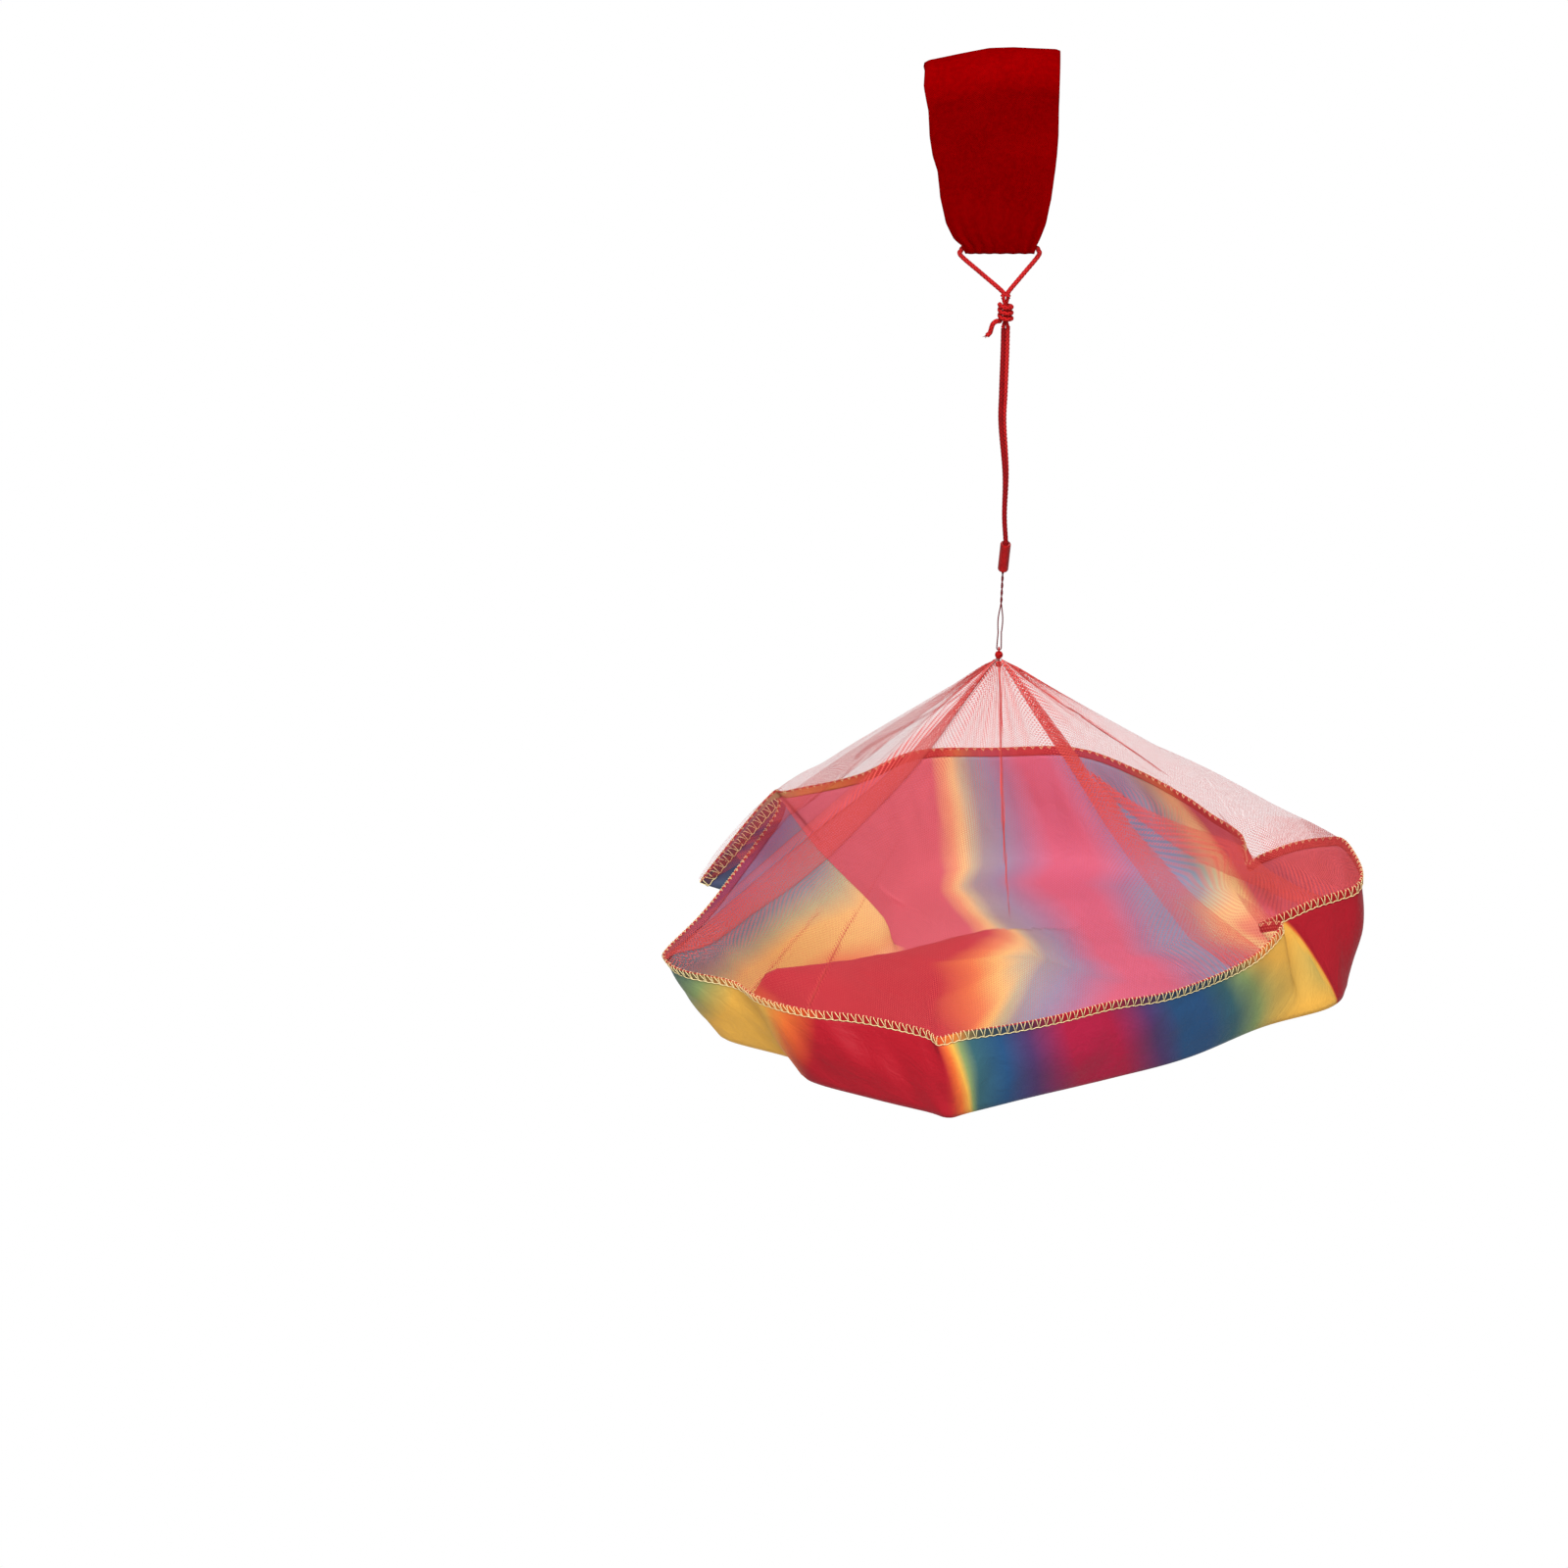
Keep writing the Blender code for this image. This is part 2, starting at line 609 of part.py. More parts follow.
def make_apex(parts, cutters, finish):
    """The knot above the net, with the eye that the string runs through, and the stop knot below the net."""
    bm = bmesh.new()
    bmesh.ops.create_uvsphere(bm, u_segments=20, v_segments=12, radius=APEX_KNOT_DIAMETER / 2)
    knot = mesh_object("apex_knot", bm, parts, finish)
    knot.location = (0, 0, APEX_KNOT_Z)

    bpy.ops.mesh.primitive_torus_add(
        major_radius=EYE_RADIUS,
        minor_radius=EYE_WIRE_DIAMETER / 2,
        major_segments=20,
        minor_segments=8,
        location=(0, 0, EYE_Z),
        rotation=(0, math.pi / 2, 0),
    )
    eye = bpy.context.object
    eye.name = "cutter_eye"
    for group in list(eye.users_collection):
        group.objects.unlink(eye)
    cutters.objects.link(eye)
    stem_top = APEX_KNOT_Z - APEX_KNOT_DIAMETER / 4
    stem = oval_post("cutter_stem", STEM_DIAMETER, STEM_DIAMETER, STEM_FOOT_Z, stem_top, cutters, None, 12)
    for joined in (eye, stem):
        make_cutter(joined)
        boolean(knot, joined, "UNION")

    bm = bmesh.new()
    bmesh.ops.create_uvsphere(bm, u_segments=16, v_segments=10, radius=STOP_KNOT_DIAMETER / 2)
    stop = mesh_object("stop_knot", bm, parts, finish)
    stop.location = (0, 0, STEM_FOOT_Z - SEAT_GAP - STOP_KNOT_DIAMETER / 2)


def rim_steps():
    """How many steps each stretch of the rim gets, so that they come to a multiple of four in all."""
    turns = [row[0] for row in RIM_SHARES] + [RIM_SHARES[0][0] + 1]
    stretches = [b - a for a, b in zip(turns, turns[1:])]
    steps = [max(1, round(stretch * RIM_STEPS_PER_TURN)) for stretch in stretches]
    while sum(steps) % 4:
        widest = max(range(len(steps)), key=lambda i: stretches[i] / steps[i])
        steps[widest] += 1
    return steps, turns


def canopy_lines():
    """The rim and the crease below it, point for point, from the left tip round the front."""
    steps, turns = rim_steps()
    corners = [
        Vector((x * CANOPY_REACH, y * CANOPY_REACH, FLOOR_Z + z * RIM_HEIGHT)) for _, x, y, z in RIM_SHARES
    ]
    rim = closed_curve(corners, steps)
    at_turns = []
    for low, high, count in zip(turns, turns[1:], steps):
        at_turns += [low + (high - low) * k / count for k in range(count)]
    crease_corners = [Vector((x * CANOPY_REACH, y * CANOPY_REACH, FLOOR_Z)) for _, x, y in CREASE_SHARES]
    crease_turns = [row[0] for row in CREASE_SHARES]
    crease = []
    for turn in at_turns:
        while turn < crease_turns[0]:
            turn += 1
        i = max(k for k, known in enumerate(crease_turns) if known <= turn)
        following = crease_turns[i + 1] if i + 1 < len(crease_turns) else crease_turns[0] + 1
        near = [crease_corners[(i + k) % len(crease_corners)] for k in (-1, 0, 1, 2)]
        crease.append(spline_point(*near, (turn - crease_turns[i]) / (following - crease_turns[i])))
    return rim, crease


def floor_lift(place):
    """Height of the fold that crosses the satin's floor: gentle in front, steep behind."""
    best = 0.0
    for low, high in zip(RIDGE_SHARES, RIDGE_SHARES[1:]):
        a = Vector(low[:2]) * CANOPY_REACH
        b = Vector(high[:2]) * CANOPY_REACH
        along = b - a
        off = Vector(place[:2]) - a
        share = min(1, max(0, off.dot(along) / along.length_squared))
        side = off - along * share
        width = RIDGE_BACK if along.x * side.y - along.y * side.x > 0 else RIDGE_FRONT
        height = RIDGE_HEIGHT * (low[2] + (high[2] - low[2]) * share)
        best = max(best, height * math.exp(-((side.length / width) ** 2)))
    return best


def smooth_share(share):
    share = min(1, max(0, share))
    return share * share * (3 - 2 * share)


def below_rim(rim, crease, down):
    """The rim's line moved down along the evened-out slope of the wall, or up where the step is negative."""
    slopes = [(foot - top).normalized() for top, foot in zip(rim, crease)]
    evened = []
    for i in range(len(slopes)):
        near = [slopes[(i + k) % len(slopes)] for k in range(-SLOPE_SPREAD, SLOPE_SPREAD + 1)]
        evened.append(sum(near, Vector()).normalized())
    return [top + slope * down for top, slope in zip(rim, evened)]


def make_satin(parts, finish, rim, crease):
    """Satin disc: a flat floor with one fold, and the wall from the crease round it up to the seam."""
    wall_tops = below_rim(rim, crease, SEAM_HEIGHT + HEM_GAP)
    count = len(crease)
    middle = sum(crease, Vector()) / count

    def floor_ring(share, every):
        ring = []
        for foot in crease[::every]:
            place = middle.lerp(foot, share)
            place.z += floor_lift(place) * smooth_share((1 - share) / RIDGE_FADE_SHARE)
            ring.append(place)
        return ring

    centre = middle.copy()
    centre.z += floor_lift(centre)
    edge = []
    for i, foot in enumerate(crease):
        along = crease[(i + 1) % count] - crease[i - 1]
        edge.append(foot + Vector((-along.y, along.x, 0)).normalized() * FLOOR_EDGE_GAP)
    rings = [[centre]] + [floor_ring(share, every) for share, every in FLOOR_RINGS] + [edge]
    ring_sheet("satin_floor", rings, parts, finish, SATIN_CLOTH)

    rings = [[foot.lerp(top, share) for foot, top in zip(crease, wall_tops)] for share in WALL_RING_SHARES]
    rings += [below_rim(rim, crease, 2 * SEAM_HEIGHT), wall_tops]
    ring_sheet("satin_wall", rings, parts, finish, SATIN_CLOTH)


def make_seam(parts, finish, rim, crease):
    """Both hems under the overlock stitch: a soft strip round the whole rim."""
    foot_line = below_rim(rim, crease, SEAM_HEIGHT)
    ring_sheet("rim_seam", [foot_line, rim], parts, finish, SEAM_CLOTH)


def taut_line(hems):
    """Closed line through the hem's taut places, with one point for each of the hem's own."""
    steps, _ = rim_steps()
    taut = [i for i, row in enumerate(RIM_SHARES) if row[0] in NET_TAUT_TURNS]
    starts = [sum(steps[:i]) for i in taut]
    counts = [(b - a) % len(hems) for a, b in zip(starts, starts[1:] + starts[:1])]
    line = closed_curve([hems[start] for start in starts], counts)
    return line[len(line) - starts[0] :] + line[: len(line) - starts[0]]


def make_net(parts, finish, rim, crease):
    """Net disc lifted at its middle: a plain cone near the neck, which takes up the rim's folds lower down."""
    neck_centre = Vector((0, 0, NECK_Z))
    count = len(rim)
    hems = below_rim(rim, crease, -HEM_GAP)
    plain = taut_line(hems)

    def neck_point(i):
        out = plain[i] - neck_centre
        side = Vector((out.x, out.y, 0)).normalized()
        return neck_centre + side * NECK_DIAMETER / 2

    def ring(share, every):
        folded = smooth_share((share - NET_FOLD_START_SHARE) / (1 - NET_FOLD_START_SHARE))
        ring_points = []
        for i in range(0, count, every):
            lower = plain[i].lerp(hems[i], folded)
            ring_points.append(neck_point(i).lerp(lower, share))
        return ring_points

    ring_sheet("net_canopy", [ring(share, every) for share, every in NET_RINGS], parts, finish, NET_CLOTH)


def build():
    parts, cutters = start_scene()
    band_red = material("band_red", (0.23, 0.0, 0.0), 0.9)
    cord_red = material("cord_red", (0.48, 0.02, 0.02), 0.7)
    knot_red = material("knot_red", (0.35, 0.005, 0.005), 0.7)
    sleeve_red = material("sleeve_red", (0.42, 0.01, 0.01), 0.35)
    string_red = material("string_red", (0.13, 0.005, 0.01), 0.6)
    net_coral = material("net_coral", (0.75, 0.12, 0.1), 0.8)
    satin_rainbow = material("satin_rainbow", (0.46, 0.02, 0.04), 0.4)
    seam_stitch = material("seam_stitch", (0.6, 0.35, 0.15), 0.8)

    make_wrist_band(parts, band_red)
    make_band_cord(parts, cord_red)
    make_knot(parts, knot_red)
    make_strands(parts, (cord_red, cord_red))
    make_sleeve(parts, cutters, sleeve_red)
    make_string(parts, string_red)
    make_apex(parts, cutters, knot_red)
    rim, crease = canopy_lines()
    make_net(parts, net_coral, rim, crease)
    make_seam(parts, seam_stitch, rim, crease)
    make_satin(parts, satin_rainbow, rim, crease)


build()
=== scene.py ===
"""Looks of the toy parachute: a striped satin bowl under a coral net, a twisted string, a sleeve, a red cord
and a soft wrist band. Metres, +Z up, in the same frame as the solid model."""

import math
from bisect import bisect_right

import bmesh
import bpy
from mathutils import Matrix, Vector, noise


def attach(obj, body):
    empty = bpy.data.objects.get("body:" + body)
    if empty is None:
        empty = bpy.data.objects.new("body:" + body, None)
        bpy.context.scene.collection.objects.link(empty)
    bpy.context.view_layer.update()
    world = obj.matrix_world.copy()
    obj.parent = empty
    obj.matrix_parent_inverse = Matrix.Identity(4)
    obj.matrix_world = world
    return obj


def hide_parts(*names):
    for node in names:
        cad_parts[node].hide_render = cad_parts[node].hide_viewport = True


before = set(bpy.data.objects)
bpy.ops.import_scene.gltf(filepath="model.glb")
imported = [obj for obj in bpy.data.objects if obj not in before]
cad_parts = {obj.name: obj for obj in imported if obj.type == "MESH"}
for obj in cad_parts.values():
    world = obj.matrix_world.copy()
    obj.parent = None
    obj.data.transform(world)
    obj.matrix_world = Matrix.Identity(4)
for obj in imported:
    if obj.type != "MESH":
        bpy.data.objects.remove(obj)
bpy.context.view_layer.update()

# The photographer's place: a long lens from in front and a little above, so that the rim
# shows as a flat oval and the sides of the toy run parallel.
PICTURE_WIDTH = 0.768
LENS = 1000
SENSOR = 36
VIEW_ELEVATION = math.radians(24)
PICTURE_MIDDLE = Vector((-0.1051, 0, -0.3763))
VIEW_REACH = 60

lens_data = bpy.data.cameras.new("camera")
lens_data.lens = LENS
lens_data.sensor_width = SENSOR
camera = bpy.data.objects.new("camera", lens_data)
bpy.context.scene.collection.objects.link(camera)
view_distance = PICTURE_WIDTH * LENS / SENSOR
toward_viewer = Vector((0, -math.cos(VIEW_ELEVATION), math.sin(VIEW_ELEVATION)))
camera.location = PICTURE_MIDDLE + toward_viewer * view_distance
camera.rotation_euler = (math.pi / 2 - VIEW_ELEVATION, 0, 0)
lens_data.clip_end = VIEW_REACH
bpy.context.scene.camera = camera


# The doubled red cord: eight-plait braid 2.4 mm thick. One length runs through the foot of the
# band; below the knot its two ends lie side by side as far as the sleeve.
CORD_DIAMETER = 0.0024
CORD_PITCH = 0.0021
CORD_RELIEF = 0.16
CORD_STEP = 0.0002
CORD_SIDES = 24
STRAND_SPACING = 0.0028
STRAND_LIE = 0.0021
SEAT_GAP = 0.0003
BAND_HEIGHT = 0.108
BAND_CLOTH = 0.0016
BAND_OPENING = 0.026
BAND_TOP_RADIUS = (BAND_OPENING + BAND_CLOTH) / 2
BAND_FOOT_RADIUS = CORD_DIAMETER / 2 + SEAT_GAP + BAND_CLOTH / 2
CASING_Z = -(BAND_HEIGHT - BAND_TOP_RADIUS - BAND_FOOT_RADIUS - BAND_CLOTH)
KNOT_TOP_Z = CASING_Z - 0.0262
KNOT_HEIGHT = 0.0165
KNOT_FOOT_Z = KNOT_TOP_Z - KNOT_HEIGHT
KNOT_SIDE = 0.0029
LEG_SPREAD = 0.03762
LEG_CORNER = 0.003
STRAND_LENGTH = 0.1145
STRAND_INSERT = 0.006
STRAND_ROUTE = [
    (0.0, 0.0029), (0.12, 0.0026), (0.30, 0.0019), (0.44, 0.0015), (0.67, 0.0031), (0.87, 0.0026)
]
STRAND_TWIST_TURNS = 0.25
SLEEVE_LENGTH = 0.0142
SLEEVE_SIDE = 0.0019
SLEEVE_TILT = 0.0155 * 2 * math.pi
STRING_POCKET_DEPTH = 0.0003
SLEEVE_TOP_Z = KNOT_FOOT_Z - STRAND_LENGTH
STRING_TOP_Z = SLEEVE_TOP_Z - (SLEEVE_LENGTH - STRING_POCKET_DEPTH) * math.cos(SLEEVE_TILT)
ALONG_SCALE = 0.2


def from_screen(red, green, blue):
    """Colour as a screen shows it, 0 to 255, as the light values and alpha that a shader takes."""
    shares = [value / 255 for value in (red, green, blue)]
    return (*(s / 12.92 if s <= 0.04045 else ((s + 0.055) / 1.055) ** 2.4 for s in shares), 1)


def smooth_share(share):
    share = min(1, max(0, share))
    return share * share * (3 - 2 * share)


def spline_point(before, start, end, after, share):
    square = share * share
    cube = square * share
    return (
        (2 * start + (end - before) * share)
        + (2 * before - 5 * start + 4 * end - after) * square
        + (3 * start - before - 3 * end + after) * cube
    ) / 2


def smooth_route(points, spacing):
    """Evenly spaced points on an open smooth curve through the given ones."""
    ends = [2 * points[0] - points[1], *points, 2 * points[-1] - points[-2]]
    fine = 40
    steps = [(i, k / fine) for i in range(len(points) - 1) for k in range(fine)]
    dense = [spline_point(*ends[i : i + 4], part) for i, part in steps] + [points[-1]]
    travelled = [0.0]
    for a, b in zip(dense, dense[1:]):
        travelled.append(travelled[-1] + (b - a).length)
    count = max(2, round(travelled[-1] / spacing))
    found = []
    at = 0
    for k in range(count + 1):
        target = travelled[-1] * k / count
        while at < len(dense) - 2 and travelled[at + 1] < target:
            at += 1
        part = (target - travelled[at]) / (travelled[at + 1] - travelled[at])
        found.append(dense[at].lerp(dense[at + 1], min(part, 1)))
    return found


def add_piece(name, bm, *finishes):
    mesh = bpy.data.meshes.new(name)
    bm.to_mesh(mesh)
    bm.free()
    piece = bpy.data.objects.new(name, mesh)
    bpy.context.scene.collection.objects.link(piece)
    for finish in finishes:
        mesh.materials.append(finish)
    mesh.shade_smooth()
    return piece


def sweep(bm, points, radius_at, sides, start_turn=0.0, closed=False):
    """A round skin along the points. Its UV holds the turn round the cord and the run along it."""
    uv = bm.loops.layers.uv.get("UVMap") or bm.loops.layers.uv.new("UVMap")
    count = len(points)
    side = None
    rings = []
    travelled = 0.0
    runs = []
    for i, point in enumerate(points):
        before = points[i - 1] if i or closed else point
        after = points[(i + 1) % count] if i < count - 1 or closed else point
        forward = (after - before).normalized()
        if side is None:
            side = forward.orthogonal()
        side = (side - forward * side.dot(forward)).normalized()
        over = forward.cross(side)
        if i:
            travelled += (point - points[i - 1]).length
        runs.append(travelled)
        ring = []
        for k in range(sides):
            turn = k / sides
            angle = 2 * math.pi * (turn + start_turn)
            reach = radius_at(turn, travelled)
            ring.append(bm.verts.new(point + (side * math.cos(angle) + over * math.sin(angle)) * reach))
        rings.append(ring)
    pairs = list(zip(range(count - 1), range(1, count)))
    if closed:
        pairs.append((count - 1, 0))
        runs.append(travelled + (points[0] - points[-1]).length)
    for a, b in pairs:
        run_a, run_b = runs[a], runs[b if b else count]
        for k in range(sides):
            n = (k + 1) % sides
            face = bm.faces.new((rings[a][k], rings[a][n], rings[b][n], rings[b][k]))
            spots = ((k, run_a), (k + 1, run_a), (k + 1, run_b), (k, run_b))
            for loop, (around, run) in zip(face.loops, spots):
                loop[uv].uv = (around / sides, run / ALONG_SCALE)
    if not closed:
        bm.faces.new(rings[0][::-1])
        bm.faces.new(rings[-1])


def braid_radius(diameter, relief, pitch, plaits=4):
    """Skin of a braid: two sets of bundles that cross and pass over each other in turn."""

    def radius_at(turn, run):
        right = abs(math.sin(math.pi * (plaits * turn + run / pitch)))
        left = abs(math.sin(math.pi * (plaits * turn - run / pitch)))
        over = math.cos(2 * math.pi * plaits * turn) * math.cos(2 * math.pi * run / pitch)
        height = max(right * (0.8 + 0.2 * over), left * (0.8 - 0.2 * over))
        return diameter / 2 * (1 - relief + relief * height)

    return radius_at


def add_node(tree, kind, values=None, **settings):
    made = tree.nodes.new("ShaderNode" + kind)
    for name, value in settings.items():
        setattr(made, name, value)
    for key, value in (values or {}).items():
        if isinstance(value, bpy.types.NodeSocket):
            tree.links.new(value, made.inputs[key])
        else:
            made.inputs[key].default_value = value
    return made


def calculate(tree, operation, *values):
    return add_node(tree, "Math", dict(enumerate(values)), operation=operation).outputs[0]


def remap(tree, value, low, high, new_low=0.0, new_high=1.0):
    values = {"Value": value, "From Min": low, "From Max": high, "To Min": new_low, "To Max": new_high}
    return add_node(tree, "MapRange", values, interpolation_type="SMOOTHSTEP").outputs["Result"]


def blend_colour(tree, factor, first, second, blend_type="MIX"):
    values = {0: factor, 6: first, 7: second}
    return add_node(tree, "Mix", values, data_type="RGBA", blend_type=blend_type).outputs[2]


def noise_map(tree, spot, scale, detail, **more):
    values = {"Vector": spot, "Scale": scale, "Detail": detail, **more}
    return add_node(tree, "TexNoise", values).outputs[0]


def uv_spot(tree):
    return add_node(tree, "UVMap", uv_map="UVMap").outputs[0]


def scaled(tree, spot, sizes):
    return add_node(tree, "VectorMath", {0: spot, 1: sizes}, operation="MULTIPLY").outputs[0]


def split_axes(tree, spot):
    return add_node(tree, "SeparateXYZ", {0: spot}).outputs


def new_finish(name, roughness, specular=0.5, sheen=0.0):
    finish = bpy.data.materials.new(name)
    finish.use_nodes = True
    tree = finish.node_tree
    shader = tree.nodes["Principled BSDF"]
    shader.inputs["Roughness"].default_value = roughness
    shader.inputs["Specular IOR Level"].default_value = specular
    shader.inputs["Sheen Weight"].default_value = sheen
    return finish, tree, shader


def new_group(name, inputs, outputs):
    group = bpy.data.node_groups.new(name, "ShaderNodeTree")
    new_socket = group.interface.new_socket
    for socket_name, kind, value in inputs:
        socket = new_socket(socket_name, in_out="INPUT", socket_type="NodeSocket" + kind)
        if value is not None:
            socket.default_value = value
    for socket_name, kind in outputs:
        new_socket(socket_name, in_out="OUTPUT", socket_type="NodeSocket" + kind)
    return group, group.nodes.new("NodeGroupInput").outputs, group.nodes.new("NodeGroupOutput").inputs


def use_group(tree, group, values):
    return add_node(tree, "Group", values, node_tree=group).outputs


def add_bump(tree, shader, height, distance, strength=1.0):
    bump = add_node(tree, "Bump", {"Height": height, "Distance": distance, "Strength": strength})
    tree.links.new(bump.outputs["Normal"], shader.inputs["Normal"])


def make_yarn_group():
    """Strands that wind round a thread or a braid, read from the turn and run in the UV map. Shade is 0 in
    the hollows between strands and 1 on their crowns, for painted shade in the hollows.
    """
    inputs = [("Turns per metre", "Float", 800.0), ("Plaits", "Float", 4.0), ("Fuzz", "Float", 0.2)]
    outputs = [("Height", "Float"), ("Shade", "Float")]
    group, given, out = new_group("yarn", inputs, outputs)
    spot = uv_spot(group)
    parts = split_axes(group, spot)
    run = calculate(group, "MULTIPLY", parts[1], ALONG_SCALE)
    winding = calculate(group, "MULTIPLY", run, given["Turns per metre"])
    around = calculate(group, "MULTIPLY", parts[0], given["Plaits"])
    waves = []
    for operation in ("ADD", "SUBTRACT"):
        phase = calculate(group, operation, around, winding)
        wave = calculate(group, "SINE", calculate(group, "MULTIPLY", phase, math.pi))
        waves.append(calculate(group, "ABSOLUTE", wave))
    woven = calculate(group, "MAXIMUM", *waves)
    fuzz = noise_map(group, spot, 260.0, 4.0)
    height = calculate(group, "MULTIPLY_ADD", fuzz, given["Fuzz"], woven)
    group.links.new(height, out["Height"])
    group.links.new(remap(group, woven, 0.35, 1.0), out["Shade"])
    return group


yarn = make_yarn_group()


def make_cord_finish(name, colour, hollow_shade_colour, fuzz):
    finish, tree, shader = new_finish(name, 0.72, 0.08)
    made = use_group(tree, yarn, {"Turns per metre": 480.0, "Plaits": 4.0, "Fuzz": fuzz})
    drift = noise_map(tree, add_node(tree, "TexCoord").outputs["Object"], 160.0, 3.0)
    # Painted shade: the hollows between the strands take the darker colour.
    plain = blend_colour(tree, made["Shade"], hollow_shade_colour, colour)
    # Worn patches, at random, also take the darker colour.
    worn = blend_colour(tree, remap(tree, drift, 0.45, 0.75, 0.0, 0.35), plain, hollow_shade_colour)
    tree.links.new(worn, shader.inputs["Base Color"])
    add_bump(tree, shader, made["Height"], 0.0001)
    return finish


# Each cord's second colour is painted shade for the hollows between its strands, and is also used for its
# worn patches.
cord_red = make_cord_finish("cord_red", from_screen(178, 30, 30), from_screen(116, 10, 14), 0.25)
cord_dark = make_cord_finish("cord_dark", from_screen(138, 12, 16), from_screen(92, 6, 10), 0.4)
knot_red = make_cord_finish("knot_red", from_screen(170, 20, 20), from_screen(96, 6, 8), 0.35)


def table_value(table, at, column=1):
    for low, high in zip(table, table[1:]):
        if at <= high[0]:
            share = (at - low[0]) / (high[0] - low[0])
            return low[column] + (high[column] - low[column]) * max(0, share)
    return table[-1][column]


def dress(piece, body, slot_name, *nodes):
    """Ties a piece to its body and hides the solids that it takes the place of. Its slot name is not used."""
    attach(piece, body)
    if nodes:
        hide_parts(*nodes)
    return piece


def make_cord(name, points, diameter, radius_at, sides, finish, body, slot_name, node):
    bm = bmesh.new()
    sweep(bm, points, radius_at, sides)
    piece = dress(add_piece(name, bm, finish), body, slot_name, node)


def make_braid(name, points, relief, finish, node):
    skin = braid_radius(CORD_DIAMETER, relief, CORD_PITCH)
    make_cord(name, points, CORD_DIAMETER, skin, CORD_SIDES, finish, "lanyard", "cord_braid", node)


def leg_route(side):
    """From the knot up to the casing on one side, and in it as far as a quarter of its width."""
    half_spread = LEG_SPREAD / 2
    foot = Vector((KNOT_SIDE + side * STRAND_SPACING / 2, 0, KNOT_TOP_Z + SEAT_GAP))
    risen = foot + Vector((0, 0, CORD_DIAMETER))
    top_z = CASING_Z - (BAND_FOOT_RADIUS + BAND_CLOTH / 2 + CORD_DIAMETER / 2)
    top = Vector((side * half_spread, 0, top_z))
    return [
        foot,
        risen,
        risen.lerp(top, 0.5),
        top,
        Vector((side * half_spread, 0, CASING_Z - LEG_CORNER / 2)),
        Vector((side * (half_spread - LEG_CORNER / 2), 0, CASING_Z)),
        Vector((side * half_spread / 2, 0, CASING_Z)),
    ]


cord_route = [*leg_route(-1), Vector((0, 0, CASING_Z)), *leg_route(1)[::-1]]
make_braid("braid_through_band", smooth_route(cord_route, CORD_STEP), CORD_RELIEF, cord_red, "band_cord")


def sleeve_point(up):
    """A place on the axis of the leaning sleeve, so far up from its pocket for the string."""
    return Vector((SLEEVE_SIDE + up * math.sin(SLEEVE_TILT), 0, STRING_TOP_Z + up * math.cos(SLEEVE_TILT)))


strand_top_z = KNOT_FOOT_Z - SEAT_GAP
mouth_up = SLEEVE_LENGTH - STRING_POCKET_DEPTH
strand_drop = strand_top_z - sleeve_point(mouth_up).z
strand_middle = [Vector((x, 0, strand_top_z - strand_drop * share)) for share, x in STRAND_ROUTE]
strand_middle += [sleeve_point(mouth_up), sleeve_point(mouth_up - STRAND_INSERT)]
strand_line = smooth_route(strand_middle, CORD_STEP)
for name, node, sign, finish, relief in (
    ("braid_left", "cord_strand_left", -1, cord_dark, 0.07),
    ("braid_right", "cord_strand_right", 1, cord_red, 0.2),
):
    strand = []
    for place in strand_line:
        share = min(1, (strand_top_z - place.z) / strand_drop)
        turn = 2 * math.pi * STRAND_TWIST_TURNS * smooth_share(share)
        strand.append(place + Vector((math.cos(turn), math.sin(turn), 0)) * STRAND_LIE / 2 * sign)
    make_braid(name, strand, relief, finish, node)


# The knot below the band: both strands pass through, the cord winds round them three times and
# its cut end stands out at the lower left, frayed.
KNOT_TURNS = 3.0
KNOT_CORE_DIAMETER = 0.0026
TAIL_ROUTE = [
    (-0.0018, -0.0012, 0.0003),
    (-0.0034, -0.0018, -0.0009),
    (-0.0042, -0.0020, -0.0032),
    (-0.0048, -0.0020, -0.0053),
    (-0.0062, -0.0021, -0.0068),
]
WINDING_SWELL = 1.04
WINDING_STEPS = 120
FRAY_HAIRS = 22
FRAY_HAIR_RADIUS = 0.00011
FRAY_SPREAD = 0.00095
FRAY_LENGTH = 0.0014
FRAY_LENGTH_CHANGE = 0.0006
FRAY_DROOP = 0.0001
FRAY_TURN = 2.399
CORE_STEPS = 80
CORE_RELIEF = 0.14
CORE_THINNING = 0.42
CORE_SIDE_SHARE = 0.21

winding_height = KNOT_TURNS * (CORD_DIAMETER + 2 * SEAT_GAP)
wound_radius = KNOT_CORE_DIAMETER / 2 + SEAT_GAP + CORD_DIAMETER / 2
winding_top = KNOT_TOP_Z - (KNOT_HEIGHT - winding_height) / 2
winding = []
for k in range(WINDING_STEPS + 1):
    turn = math.pi + 2 * math.pi * KNOT_TURNS * k / WINDING_STEPS
    place = (KNOT_SIDE + wound_radius * math.cos(turn), wound_radius * math.sin(turn))
    winding.append(Vector((*place, winding_top - winding_height * k / WINDING_STEPS)))
tail = [winding[-1] + Vector(step) for step in TAIL_ROUTE]
winding_line = winding + smooth_route([winding[-1], *tail], CORD_STEP)[1:]
bm = bmesh.new()
sweep(bm, winding_line, braid_radius(CORD_DIAMETER * WINDING_SWELL, CORD_RELIEF, CORD_PITCH), CORD_SIDES)
fray = tail[-1] - tail[-2]
